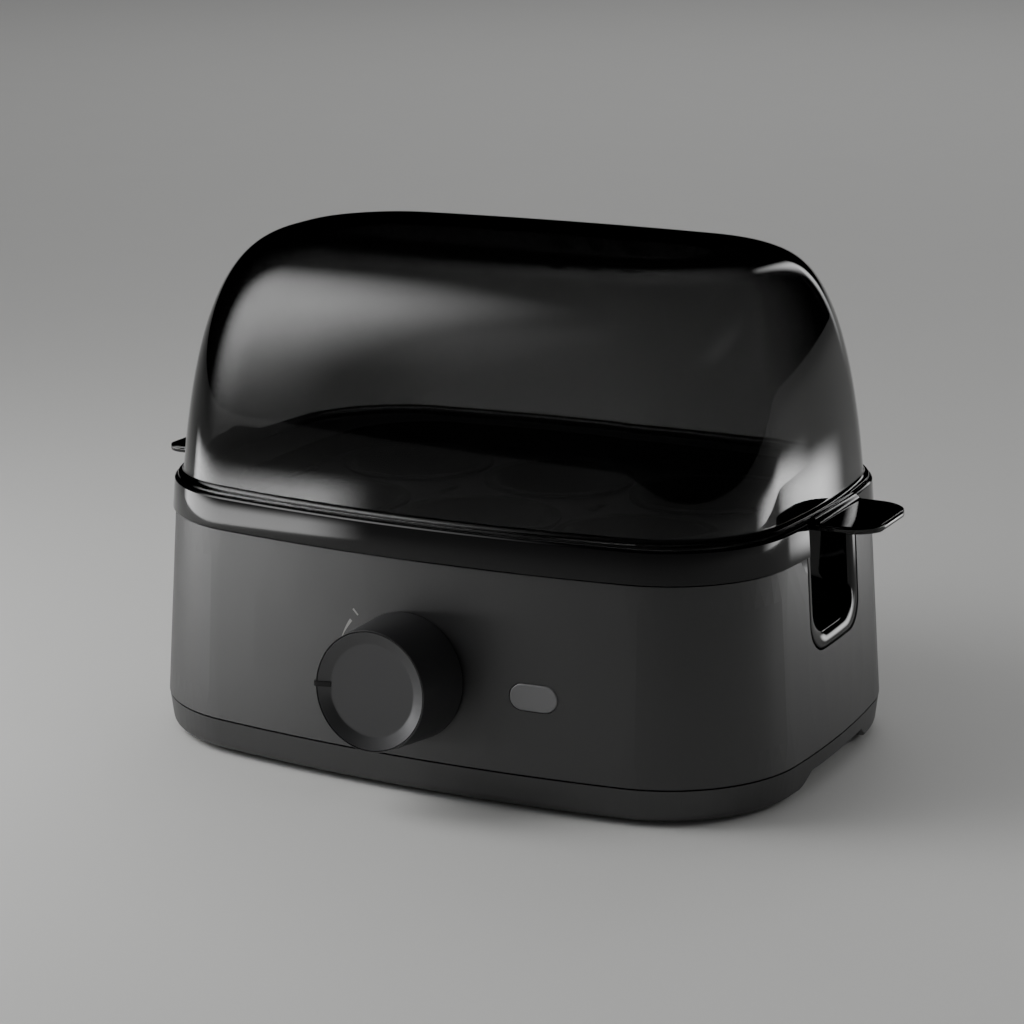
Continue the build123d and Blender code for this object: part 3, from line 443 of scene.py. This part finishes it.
def pocket_bowl(side):
    """Points of a finger pocket's inner face in millimetres. Columns run down one side of a U,
    round its bottom and up the other side. Rows go in from the housing's face: first over a lip
    that curves in like a part of an ellipse, then down a scoop that draws the U in further along a
    quarter of an ellipse and ends in a flat back. The last rows shrink onto the back's top."""
    mouth_half_width, mouth_low, top, mouth_corner = 20.65, 44.65, 83.7, 10.0
    lip_width, lip_share, scoop_width, back = 4.4, 0.11, 8.6, 93.0
    over = np.sin(np.linspace(0, 0.94, 14) * math.pi / 2)
    down_in = np.sin(np.linspace(0, 1, 24) * math.pi / 2)[1:]
    lip_depth = lip_share * (1 - np.sqrt(1 - over**2))
    share = np.concatenate([lip_depth, lip_depth[-1] + (1 - lip_depth[-1]) * down_in])[:, None]
    lip = lip_width * over
    scoop = lip[-1] + scoop_width * (1 - np.sqrt(1 - down_in**2))
    drawn_in = np.concatenate([lip, scoop])[:, None]
    half_width = mouth_half_width - drawn_in
    low = mouth_low + drawn_in
    corner = np.minimum(mouth_corner, 0.9 * half_width)
    down = np.linspace(0, 1, 16)[None, :]
    turn = np.linspace(0, 1, 14)[None, 1:] * math.pi / 2
    flat = np.linspace(0, 1, 14)[None, 1:]
    rest = down[:, 1:]
    y = np.hstack([-half_width + 0 * down, corner - half_width - corner * np.cos(turn),
                   (corner - half_width) * (1 - 2 * flat),
                   half_width - corner + corner * np.sin(turn), half_width + 0 * rest])
    z = np.hstack([top + (low + corner - top) * down, low + corner - corner * np.sin(turn),
                   low + 0 * flat,
                   low + corner - corner * np.cos(turn), top + (low + corner - top) * (1 - rest)])

    # The mouth lies 0.1 mm behind the housing's face
    mouth = end_wall(y, z) - 0.1
    x = mouth + (back - mouth) * share
    fade = np.linspace(1, 0, 9)[1:, None]
    x = np.vstack([x, np.broadcast_to(x[-1:], (len(fade), x.shape[1]))])
    y = np.vstack([y, y[-1:] * fade])
    z = np.vstack([z, top + (z[-1:] - top) * np.maximum(fade, 0.01)])
    return np.stack([side * x, y + centre_y, z], -1)


def turned(profile, columns=160):
    """A surface of revolution about the dial's axis, from a profile of radius and distance
    outside the wall, in millimetres. A point sits at the wall's origin plus the distance along the
    wall's normal plus the radius turned through a full circle in the wall's plane."""
    sizes = bpy.context.scene.egg_cooker_dial
    height = sizes.height / MM
    origin = front_wall(np.zeros(1), np.full(1, height))[0]
    normal = np.array([0, -math.cos(wall_lean), math.sin(wall_lean)])
    upward = np.array([0, math.sin(wall_lean), math.cos(wall_lean)])
    angle = np.linspace(0, 2 * math.pi, columns, endpoint=False)
    spoke = np.cos(angle)[:, None] * np.array([1.0, 0, 0]) + np.sin(angle)[:, None] * upward
    return (origin + profile[:, 1][:, None, None] * normal
            + profile[:, 0][:, None, None] * spoke[None]) * MM


def hole_cutter(x, y, low, high, radius):
    """An upright round rod for cutting a hole, from rings of points at two heights."""
    angle = np.linspace(0, 2 * math.pi, 48, endpoint=False)
    ring = np.stack([x + radius * np.cos(angle), y + radius * np.sin(angle)], -1)
    levels = np.stack([np.column_stack([ring, np.full(len(ring), z)]) for z in (low, high)])
    return grid_piece("hole_cutter", levels * MM)


def cut(piece, cutter):
    """Cuts one closed piece out of another and drops the cutter."""
    change = piece.modifiers.new("cut", "BOOLEAN")
    change.operation = "DIFFERENCE"
    change.solver = "EXACT"
    change.object = cutter
    fresh = bpy.data.meshes.new_from_object(
        piece.evaluated_get(bpy.context.evaluated_depsgraph_get())
    )
    piece.modifiers.clear()
    piece.data = fresh
    bpy.data.objects.remove(cutter)
    return piece


class EGGCOOKER_OT_housing(bpy.types.Operator):
    """Draws the housing and its base, and gives the feet and the metal parts their finishes"""

    bl_idname = "egg_cooker.housing"
    bl_label = "Housing and base"

    def execute(self, context):
        """The housing and the base are smoothed copies of their CAD nodes. The gland's plate, the
        feet, the screws and the other metal parts are only dressed."""
        colours = context.scene.egg_cooker_colours

        # Moulded ABS from a spark-eroded tool. The real grain is about 0.1 mm and is drawn at
        # 0.35 mm, so that it still breaks up the highlights at this distance.
        satin = {"Specular IOR Level": 1.0}
        abs_body = moulded("satin_black_abs", colours.housing, 0.42, 0.35, 0.006, satin)
        abs_base = moulded("satin_black_abs_base", colours.base, 0.45, 0.35, 0.006, satin)
        smooth_copy("housing_shell", "body_shell", abs_body)
        base = smooth_copy("housing_base", "base_cover", abs_base)
        dress(abs_body, "gland_plate")

        # The base's upper edge stands 0.35 mm lower than in CAD, so that the parting line shows
        edge_height, edge_drop, close = 12.75 * MM, 0.35 * MM, 0.02 * MM
        places = np.empty(len(base.data.vertices) * 3)
        base.data.vertices.foreach_get("co", places)
        heights = places.reshape(-1, 3)[:, 2]
        heights[np.abs(heights - edge_height) < close] -= edge_drop
        base.data.vertices.foreach_set("co", places)
        base.data.update()

        # Moulded thermoplastic rubber: dull, with a slightly uneven skin
        dress(moulded("black_rubber", linear("#161616"), 0.75, 0.5, 0.02), "rubber_feet")

        # Zinc-plated steel: bright but a little cloudy
        dress(
            moulded("zinc_plated_steel", linear("#b9bcc0"), 0.32, 0.4, 0.004, {"Metallic": 1.0}),
            "base_screws", "board_screws", "bracket_screws", "clamp_screws", "plate_clamps",
            "power_board_screws", "selector_nut", "selector_shaft", "thermostat_bracket",
            "thermal_fuse", "knob_clip"
        )
        return {"FINISHED"}


class EGGCOOKER_OT_trim(bpy.types.Operator):
    """Builds the gloss band round the rim and the finger pockets"""

    bl_idname = "egg_cooker.trim"
    bl_label = "Gloss trim"

    def execute(self, context):
        """The band is a rounded section swept along the front and the back half of the rim, from
        notch to notch. Each pocket is a curved wall behind its notch."""
        colours = context.scene.egg_cooker_colours

        # Polished ABS: mirror-like with the faint orange peel of a moulded gloss face
        gloss = moulded(
            "polished_black_abs", colours.gloss, 0.06, 6.0, 0.003, {"IOR": 1.42}, spread=0.02
        )

        # The band leans in a little more than the wall and stands 0.4 mm clear of its edge, as the
        # dark line between them shows. Insets from the seam outline and heights, in millimetres
        inner, low, high, notch_half_width = 6.2, 76.35, 86.8, 21.3
        corners = [(inner, low), (3.14, low), (4.0, 86.3), (4.5, high), (inner, high)]
        profile = rounded(corners, [0.02, 0.35, 0.12, 0.12, 0.1])
        for name, side in (("rim_band_front", 1), ("rim_band_back", -1)):
            x, y = half_outline(seam_sizes(profile[:, 0]), notch_half_width)
            z = np.broadcast_to(profile[:, 1][:, None], x.shape)
            points = np.stack([x, side * y + centre_y, z], -1).transpose(1, 0, 2)
            band = grid_piece(name, points * MM, sharp=35.0)
            band.data.materials.append(gloss)
            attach(band, "root")
            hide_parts("trim_band")
        for name, side in (("pocket_bowl_right", 1), ("pocket_bowl_left", -1)):
            bowl = grid_piece(
                name, pocket_bowl(side) * MM, wrap_columns=False, caps=False, sharp=60.0
            )
            wall = bowl.modifiers.new("wall", "SOLIDIFY")
            wall.thickness, wall.offset = 0.5 * MM, -1.0
            bowl.data.materials.append(gloss)
            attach(bowl, "root")
            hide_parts("finger_pockets")
        return {"FINISHED"}


class EGGCOOKER_OT_inside(bpy.types.Operator):
    """Gives the tray, the water dish and the inner works their finishes"""

    bl_idname = "egg_cooker.inside"
    bl_label = "Tray and inner works"

    def execute(self, context):
        """Dresses the nodes inside the lid and the housing."""
        colours = context.scene.egg_cooker_colours
        steel = {"Metallic": 1.0}

        # Black polypropylene: satin, waxy
        waxy = {"Specular IOR Level": 0.25}
        dress(
            moulded("black_polypropylene", colours.tray, 0.45, 0.5, 0.008, waxy),
            "egg_tray", "tray_rim"
        )

        # Silicone rubber: soft and dull
        dress(moulded("dark_silicone", linear("#0b0b0c"), 0.62, 0.6, 0.01, waxy), "egg_seats")
        dress(moulded("red_silicone", linear("#7e2f22"), 0.6, 0.6, 0.01), "plate_seal")

        # Glass-filled nylon: dark with a dry, slightly fibrous skin
        dress(
            moulded("glass_filled_nylon", linear("#1b1b1b"), 0.55, 0.3, 0.012),
            "inner_liner", "thermostat", "selector_switch", "button_guide", "tact_switch", "buzzer",
            "cord_gland"
        )

        # Satin stainless steel of the water dish, and the duller heater sheath
        dress(
            moulded("satin_stainless", linear("#9b9da0"), 0.3, 0.25, 0.005, steel), "heating_plate"
        )
        dress(
            moulded("heater_sheath_steel", linear("#6f6a66"), 0.42, 0.4, 0.006, steel),
            "heater_element", "heater_pins"
        )

        # Solder mask over glass laminate
        dress(
            moulded("green_laminate", linear("#1f5a33"), 0.35, 1.2, 0.01),
            "control_board", "power_board"
        )

        # Moulded cases of the parts on the boards, and the lamp's clear lens
        dress(moulded("blue_relay_case", linear("#2b4f8f"), 0.4, 0.5, 0.006), "relay")
        dress(
            moulded("grey_nylon", linear("#8a8b8c"), 0.5, 0.5, 0.008),
            "terminal_block", "capacitor"
        )
        dress(
            moulded("lamp_lens", linear("#d8d8d2"), 0.12, 2.0, 0.002, {"Transmission Weight": 0.5}),
            "status_led"
        )
        return {"FINISHED"}


class EGGCOOKER_OT_lid(bpy.types.Operator):
    """Builds the smoke lid's dome, flange and skirt as one closed wall"""

    bl_idname = "egg_cooker.lid"
    bl_label = "Lid"

    def execute(self, context):
        """Rows run from the crown's inside, down the inner wall, round the skirt and flange, up the
        outer wall and over the crown into its dish. Each row is an outline at a height."""
        sizes = context.scene.egg_cooker_lid
        top = dome_high.z / MM
        foot = sizes.dome_foot / MM
        wall = sizes.dome_wall / MM
        low, high = sizes.flange_low / MM, sizes.flange_top / MM
        inset, skirt = sizes.flange_inset / MM, sizes.skirt_inset / MM
        skirt_low, skirt_round, bore_inset = sizes.skirt_low / MM, 0.3, 8.9
        rise = np.sin(np.linspace(0, 1, 46) * math.pi / 2) ** (2 / side_power)

        # Inner side, from the crown's middle to the mouth
        inner_crown = dome_sizes(np.ones(1), wall)
        shrink = np.array([0.04, 0.25, 0.5, 0.75, 0.95])[:, None]
        inner = dome_sizes(rise[::-1], wall)
        mouth = inner[-1:]
        rows = [inner_crown * shrink, inner, mouth, mouth]
        inner_top = top - wall
        heights = [np.full(len(shrink), inner_top), foot + (inner_top - foot) * rise[::-1],
                   [high, skirt_low + skirt_round]]

        # Skirt and flange, with small rounds on their edges, as insets and heights
        edge = np.array([
            (bore_inset, skirt_low), (skirt + skirt_round, skirt_low),
            (skirt + 0.05, skirt_low + 0.1), (skirt, skirt_low + skirt_round),
            (skirt, low - 0.1), (skirt - 0.1, low), (inset + 0.35, low), (inset + 0.1, low + 0.1),
            (inset, low + 0.35), (inset + 0.09, high - 0.5), (inset + 0.16, high - 0.22),
            (inset + 0.3, high - 0.07), (inset + 0.5, high)
        ])
        rows.append(seam_sizes(edge[:, 0]))
        heights.append(edge[:, 1])

        # Hollow round from the flange to the dome, then the dome itself
        fillet_height = sizes.fillet_height / MM
        fillet_width = sizes.fillet_width / MM
        start = (high + fillet_height - foot) / (top - foot)
        turn = np.linspace(0.05, 1, 9)[:-1] * math.pi / 2
        spread = fillet_width * (1 - np.sin(turn))
        grown = spread[:, None] * np.array([1, 1, 0, 0, 1])
        rows.append(dome_sizes(np.full(len(turn), start), 0) + grown)
        heights.append(high + fillet_height * (1 - np.cos(turn)))
        outer_rise = np.maximum(start, rise)[rise >= start]
        outer_rise = np.concatenate([[start], outer_rise])
        rows.append(dome_sizes(outer_rise, 0))
        heights.append(foot + (top - foot) * outer_rise)

        # Dish in the crown: a soft lip, a sloping side and a flat floor. Its lip and floor are
        # outline sizes in millimetres, as dome_sizes gives them
        depth = sizes.dish_depth / MM
        crown = dome_sizes(np.ones(1), 0)
        lip = np.array([[68.6, 21.6, 2.4, 2.4, 17.6]])
        floor = np.array([[65.4, 18.4, 2.2, 2.4, 14.6]])
        share = np.array([0.5, 0.0, -0.12, -0.3, -0.7, -0.9, -1.0])[:, None]
        ring = np.where(share >= 0, lip + (crown - lip) * share, lip + (floor - lip) * -share)
        drop = np.array([0.0, 0.02, 0.12, 0.35, 0.85, 0.97, 1.0]) * depth
        rows.append(ring)
        heights.append(top - drop)
        closing = np.array([0.95, 0.7, 0.4, 0.15, 0.03])[:, None]
        rows.append(floor * closing)
        heights.append(np.full(len(closing), top - depth))

        sizes_of_rows = np.vstack(rows)
        x, y = outline(*sizes_of_rows.T)
        z = np.concatenate([np.asarray(h, float) for h in heights])
        z = np.broadcast_to(z[:, None], x.shape)
        piece = grid_piece("lid_dome", np.stack([x, y + centre_y, z], -1) * MM)

        # Three steam holes behind the crown
        hole_y, hole_low, hole_high, hole_radius = centre_y + 56, 120, 180, 2.2
        for hole_x in (-14, 0, 14):
            piece = cut(piece, hole_cutter(hole_x, hole_y, hole_low, hole_high, hole_radius))
        piece.data.materials.clear()
        piece.data.materials.append(
            smoke_clear("smoke_acrylonitrile", context.scene.egg_cooker_colours.smoke, 450.0)
        )
        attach(piece, "cover")
        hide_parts("lid", "lid_rim")
        return {"FINISHED"}


class EGGCOOKER_OT_ears(bpy.types.Operator):
    """Builds the two ears that the lid is lifted by"""

    bl_idname = "egg_cooker.ears"
    bl_label = "Lid ears"

    def execute(self, context):
        """Each ear is a closed tube along X: its section is a rounded rectangle whose width
        follows the tab's outline and whose top steps down from the flange to the tab."""
        sizes = context.scene.egg_cooker_lid
        reach = rim_high.x / MM
        root, step_end, step_run, edge_round = 108.6, 113.2, 2.8, 0.9
        half_width = sizes.ear_half_width / MM
        low = rim_low.z / MM
        ear_top = low + sizes.ear_thickness / MM
        flange_top = sizes.flange_top / MM - 0.05
        turn = np.linspace(0, 1, 22)
        angle = (np.linspace(0, 1, 9)[None, :] + np.arange(4)[:, None]) * math.pi / 2
        side_y = np.array([1, -1, -1, 1])[:, None]
        side_z = np.array([1, 1, -1, -1])[:, None]

        # The ears are the lid's own plastic, drawn darker, because the real ones look nearly black
        tint = context.scene.egg_cooker_colours.smoke
        smoke = smoke_clear("smoke_acrylonitrile_ear", tint, 1500.0)
        ears = (
            ("lid_ear_right", 1, sizes.right_ear_corner / MM),
            ("lid_ear_left", -1, sizes.left_ear_corner / MM),
        )
        for name, side, corner in ears:
            x = np.concatenate([np.linspace(root, reach - corner, 30)[:-1],
                                reach - corner + (corner - 0.02) * np.sin(turn * math.pi / 2)])
            round_off = np.maximum(x - (reach - corner), 0)
            width = half_width - corner + np.sqrt(np.maximum(corner**2 - round_off**2, 0))
            top = ear_top + (flange_top - ear_top) * smooth_step((step_end - x) / step_run)
            tip = np.clip((x - (reach - edge_round)) / edge_round, 0, 1)
            thin = 1 - np.sqrt(1 - np.minimum(tip, 0.999) ** 2)
            middle, half = (top + low) / 2, (top - low) / 2 * (1 - 0.9 * thin)
            radius = np.minimum(edge_round, 0.98 * half)
            section_y = (side_y * (width - radius)[:, None, None]
                         + radius[:, None, None] * np.cos(angle)).reshape(len(x), -1)
            section_z = (middle[:, None, None] + side_z * (half - radius)[:, None, None]
                         + radius[:, None, None] * np.sin(angle)).reshape(len(x), -1)
            across = np.broadcast_to(x[:, None], section_y.shape)
            points = np.stack([side * across, section_y + centre_y, section_z], -1) * MM
            piece = grid_piece(name, points)
            piece.data.materials.append(smoke)
            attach(piece, "cover")
        return {"FINISHED"}


class EGGCOOKER_OT_dial(bpy.types.Operator):
    """Builds the dial's barrel and metallic cap, and gives its pointer a finish"""

    bl_idname = "egg_cooker.dial"
    bl_label = "Dial"

    def execute(self, context):
        """Barrel and cap are closed profiles turned about the dial's axis, as radii and distances
        outside the wall. The pointer keeps its CAD mesh."""
        sizes = context.scene.egg_cooker_dial
        colours = context.scene.egg_cooker_colours
        back, front = sizes.back / MM, sizes.front / MM
        back_radius, front_radius = sizes.back_radius / MM, sizes.front_radius / MM
        disc, rim, cap = sizes.disc_radius / MM, sizes.rim_radius / MM, sizes.cap_radius / MM

        # The barrel is a wall 2 mm thick with a web 1.9 mm thick, 2.3 mm behind its front edge. The
        # two corners near the axis are dropped after the rounding, and fans close the faces there
        middle, wall, web = 0.6, 2.0, front - 2.3
        inside = web - 1.9
        corners = [(middle, web), (rim, web), (rim, front), (front_radius, front),
                   (back_radius, back), (back_radius - wall, back), (front_radius - wall, inside),
                   (middle, inside)]
        profile = rounded(corners, [0.01, 0.2, 0.12, 0.14, 0.5, 0.4, 0.8, 0.01])
        barrel = grid_piece("dial_barrel", turned(profile[round_points:-round_points]))

        # Satin black ABS with a fine turned sheen
        barrel.data.materials.append(moulded("satin_black_dial", colours.barrel, 0.36, 0.3, 0.004))
        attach(barrel, "dial")
        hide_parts("knob_barrel")

        # The cap rests on the web, and its disc lies 1.5 mm behind the barrel's front edge
        cap_back, dished = web + 0.1, front - 1.5
        corners = [(middle, cap_back), (cap, cap_back), (cap, front - 0.1), (disc, dished),
                   (middle, dished)]
        profile = rounded(corners, [0.01, 0.1, 0.12, 0.5, 0.01])
        face = grid_piece("dial_cap", turned(profile[round_points:-round_points]))

        # Vacuum-metallised and lacquered cap: dark, satin, with a metal's wide highlight
        face.data.materials.append(
            moulded("dark_metallised_cap", colours.cap, 0.36, 0.25, 0.002,
                    {"Metallic": 0.85, "Coat Weight": 0.3, "Coat Roughness": 0.25})
        )
        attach(face, "dial")
        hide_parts("knob_face")

        dress(bpy.data.materials["polished_black_abs"], "knob_pointer")
        return {"FINISHED"}


class EGGCOOKER_OT_scale(bpy.types.Operator):
    """Builds the printed arc and tick beside the dial"""

    bl_idname = "egg_cooker.scale"
    bl_label = "Dial scale"

    def execute(self, context):
        """The arc is a thin ribbon about the dial's centre that widens towards its end, and the
        tick is a short bar along a radius. Both lie on the bowed front wall, 0.04 mm proud."""
        sizes = context.scene.egg_cooker_dial
        colours = context.scene.egg_cooker_colours
        height, radius = sizes.height / MM, sizes.scale_radius / MM

        # Pad print: matt, a few hundredths of a millimetre thick
        ink = moulded("pad_print_grey", colours.print_ink, 0.6, 0.4, 0.002)
        narrow, growth = 0.16, 0.34
        angle = np.radians(np.linspace(200, 143, 60))
        half = narrow + growth * smooth_step((np.radians(157) - angle) / math.radians(14))
        arc = (angle, radius - half, radius + half)
        angle = np.radians(np.array([136.6, 135.4]))
        tick_near, tick_far = 24.7, 27.3
        tick = (angle, np.full(2, tick_near), np.full(2, tick_far))
        proud = np.array([0.04, 0.04, -0.1, -0.1])
        for name, (angle, near, far) in (("scale_arc", arc), ("scale_tick", tick)):
            ring = np.stack([near, far, far, near], -1)
            x = ring * np.cos(angle)[:, None]
            z = height + ring * np.sin(angle)[:, None] * math.cos(wall_lean)
            piece = grid_piece(name, front_wall(x, z, proud) * MM)
            piece.data.materials.append(ink)
            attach(piece, "root")
        return {"FINISHED"}


class EGGCOOKER_OT_key(bpy.types.Operator):
    """Gives the push key its finish"""

    bl_idname = "egg_cooker.key"
    bl_label = "Push key"

    def execute(self, context):
        """Dresses the key."""
        colours = context.scene.egg_cooker_colours

        # Moulded polycarbonate blend, satin, lighter than the housing
        dress(moulded("grey_polycarbonate", colours.key, 0.4, 0.35, 0.004), "power_button")
        return {"FINISHED"}


def framed(right, up, back, place):
    """The matrix with the given axes as its columns and the given place."""
    matrix = np.eye(4)
    matrix[:3, 0], matrix[:3, 1], matrix[:3, 2], matrix[:3, 3] = right, up, back, place
    return Matrix(matrix.tolist())


def aimed(place, toward):
    """The matrix of a lamp at a place, its light going along a direction."""
    back = -np.asarray(toward, float) / np.linalg.norm(toward)
    level = np.array([0, 0, 1.0]) if abs(back[2]) < 0.99 else np.array([0, 1.0, 0])
    right = np.cross(level, back)
    right = right / np.linalg.norm(right)
    return framed(right, np.cross(back, right), back, place)


def soft_box(name, place, aim, size, power, fade, lights=True, mirrored=True):
    """A soft box: an area light behind cloth, whose brightness falls off smoothly towards its
    edges over a share of its size. One that isn't mirrored stands for light that the room throws
    back, and one that only shows mirrored stands for a pale card."""
    light = bpy.data.lights.new(name, "AREA")
    light.shape = "RECTANGLE"
    light.size, light.size_y = size
    light.energy = power
    light.use_nodes = True
    tree = light.node_tree
    tree.nodes.clear()
    spot = add_node(
        tree, "ShaderNodeSeparateXYZ", {},
        {"Vector": add_node(tree, "ShaderNodeNewGeometry").outputs["Parametric"]}
    )
    falls = []
    for axis in ("X", "Y"):
        inward = add_node(
            tree, "ShaderNodeMath", {"operation": "PINGPONG", 1: 0.5}, {0: spot.outputs[axis]}
        )
        falls.append(add_node(
            tree, "ShaderNodeMapRange", {"interpolation_type": "SMOOTHSTEP", "From Max": fade},
            {"Value": inward.outputs[0]}
        ))
    both = add_node(
        tree, "ShaderNodeMath", {"operation": "MULTIPLY"},
        {0: falls[0].outputs["Result"], 1: falls[1].outputs["Result"]}
    )
    glow = add_node(tree, "ShaderNodeEmission", {}, {"Strength": both.outputs[0]})
    add_node(tree, "ShaderNodeOutputLight", {}, {"Surface": glow.outputs["Emission"]})
    lamp = bpy.data.objects.new(name, light)
    bpy.context.scene.collection.objects.link(lamp)
    lamp.matrix_world = aimed(place, np.array(aim, float) - np.array(place))
    lamp.visible_camera = False
    lamp.visible_diffuse = lights
    lamp.visible_glossy = mirrored


class EGGCOOKER_OT_stage(bpy.types.Operator):
    """Builds the floor, the lights and the camera"""

    bl_idname = "egg_cooker.stage"
    bl_label = "Stage"

    def execute(self, context):
        """The floor is a wide disc, from rings of points round a small middle face. The lights are
        soft boxes, and the camera stands where the photograph was taken from."""
        colours = context.scene.egg_cooker_colours
        radius = np.array([0.02, 1.0, 4.0, 9.0, 16.0])[:, None]
        angle = np.linspace(0, 2 * math.pi, 96, endpoint=False)
        x, y = radius * np.cos(angle), radius * np.sin(angle)
        points = np.stack([x, y, np.zeros_like(x)], -1)
        index = np.arange(x.size).reshape(x.shape)
        middle = index[0].tolist()
        index = np.hstack([index, index[:, :1]])
        quads = np.stack([index[:-1, :-1], index[1:, :-1], index[1:, 1:], index[:-1, 1:]], -1)
        mesh = bpy.data.meshes.new("floor")
        mesh.from_pydata(points.reshape(-1, 3).tolist(), [],
                         quads.reshape(-1, 4).tolist() + [middle])
        floor = bpy.data.objects.new("floor", mesh)
        context.scene.collection.objects.link(floor)

        # Rolled vinyl studio floor: matt and even
        mesh.materials.append(
            moulded("pale_vinyl_floor", colours.floor, 0.85, 3.0, 0.01, mottle=0.01)
        )

        world = bpy.data.worlds.new("studio_air")
        context.scene.world = world
        world.use_nodes = True
        air = world.node_tree.nodes["Background"].inputs
        air["Color"].default_value, air["Strength"].default_value = linear("#e4e4e5"), 0.25

        # The room's own light is soft and even, and polished faces don't mirror it
        world.cycles_visibility.glossy = False

        # Each soft box: name, place, aim, width and height in metres, power in watts, and the share
        # of its size over which each edge fades
        soft_box("left_panel", (-0.44, -0.235, 0.42), (0, 0, 0.1), (0.6, 0.9), 9.0, 0.45)
        soft_box("left_front_high", (-0.85, -0.94, 1.0), (0, 0, 0.1), (1.6, 1.4), 6.0, 0.5)

        # Lamps that light the floor and that polished faces don't mirror
        for box in (
            ("floor_back_lamp", (-0.5, 1.9, 2.3), (-0.5, 1.9, 0), (3.0, 3.0), 70.0, 0.5),
            ("floor_right_lamp", (0.8, -0.05, 0.6), (0.8, -0.05, 0), (0.5, 0.8), 4.5, 0.5),
        ):
            soft_box(*box, mirrored=False)

        # Pale cards that only polished faces show
        for box in (
            ("left_low_strip", (-0.44, -0.235, -0.025), (0, 0, -0.025), (0.62, 0.17), 2.3, 0.16),
            ("right_back_strip", (0.17, 0.72, 0.32), (0, 0, 0.1), (0.14, 0.6), 0.9, 0.5),
            ("right_end_strip", (0.62, 0.42, -0.01), (0, 0, -0.01), (0.6, 0.11), 1.4, 0.35),
            ("right_near_card", (0.23, 0.22, 0.045), (0.115, 0, 0.045), (0.14, 0.07), 0.17, 0.4),
        ):
            soft_box(*box, lights=False)

        # The camera as it was solved from the outlines in the photograph: lens and sensor in
        # millimetres, turn round the cooker, height angle and roll in degrees, place in millimetres
        camera = bpy.data.cameras.new("camera")
        camera.lens, camera.sensor_width = 98.3, 36.0
        camera.clip_start, camera.clip_end = 0.01, 60.0
        holder = bpy.data.objects.new("camera", camera)
        context.scene.collection.objects.link(holder)
        turn, lift, roll = (math.radians(v) for v in (27.39, 14.82, 0.33))
        back = np.array([math.sin(turn) * math.cos(lift), -math.cos(turn) * math.cos(lift),
                         math.sin(lift)])
        right = np.array([math.cos(turn), math.sin(turn), 0])
        up = np.cross(back, right)
        right, up = (math.cos(roll) * right - math.sin(roll) * up,
                     math.sin(roll) * right + math.cos(roll) * up)
        place = np.array([412.39, centre_y - 803.44, 311.90]) * MM
        holder.matrix_world = framed(right, up, back, place)
        context.scene.camera = holder
        return {"FINISHED"}


class EGGCOOKER_PT_pieces(bpy.types.Panel):
    """Lists the steps that build the egg cooker"""

    bl_idname = "EGGCOOKER_PT_pieces"
    bl_label = "Egg cooker"
    bl_space_type = "VIEW_3D"
    bl_region_type = "UI"
    bl_category = "Egg cooker"

    def draw(self, context):
        """One button for each step, then the sizes and colours."""
        for step in steps:
            self.layout.operator(step.bl_idname)
        for group in (context.scene.egg_cooker_lid, context.scene.egg_cooker_dial,
                      context.scene.egg_cooker_colours):
            box = self.layout.box()
            for name in group.bl_rna.properties.keys():
                if name not in ("rna_type", "name"):
                    box.prop(group, name)


groups = {
    "egg_cooker_lid": EGGCOOKER_PG_lid,
    "egg_cooker_dial": EGGCOOKER_PG_dial,
    "egg_cooker_colours": EGGCOOKER_PG_colours,
}
steps = (
    EGGCOOKER_OT_housing,
    EGGCOOKER_OT_trim,
    EGGCOOKER_OT_inside,
    EGGCOOKER_OT_lid,
    EGGCOOKER_OT_ears,
    EGGCOOKER_OT_dial,
    EGGCOOKER_OT_scale,
    EGGCOOKER_OT_key,
    EGGCOOKER_OT_stage,
)


def register():
    """Registers the groups, the steps and the panel."""
    for name, group in groups.items():
        bpy.utils.register_class(group)
        setattr(bpy.types.Scene, name, bpy.props.PointerProperty(type=group))
    for step in steps:
        bpy.utils.register_class(step)
    bpy.utils.register_class(EGGCOOKER_PT_pieces)


def unregister():
    """Takes back what register added."""
    bpy.utils.unregister_class(EGGCOOKER_PT_pieces)
    for step in reversed(steps):
        bpy.utils.unregister_class(step)
    for name, group in groups.items():
        delattr(bpy.types.Scene, name)
        bpy.utils.unregister_class(group)


def main():
    """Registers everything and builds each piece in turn."""
    register()
    bpy.ops.egg_cooker.housing()
    bpy.ops.egg_cooker.trim()
    bpy.ops.egg_cooker.inside()
    bpy.ops.egg_cooker.lid()
    bpy.ops.egg_cooker.ears()
    bpy.ops.egg_cooker.dial()
    bpy.ops.egg_cooker.scale()
    bpy.ops.egg_cooker.key()
    bpy.ops.egg_cooker.stage()
    bpy.context.view_layer.update()


if __name__ == "__main__":
    main()
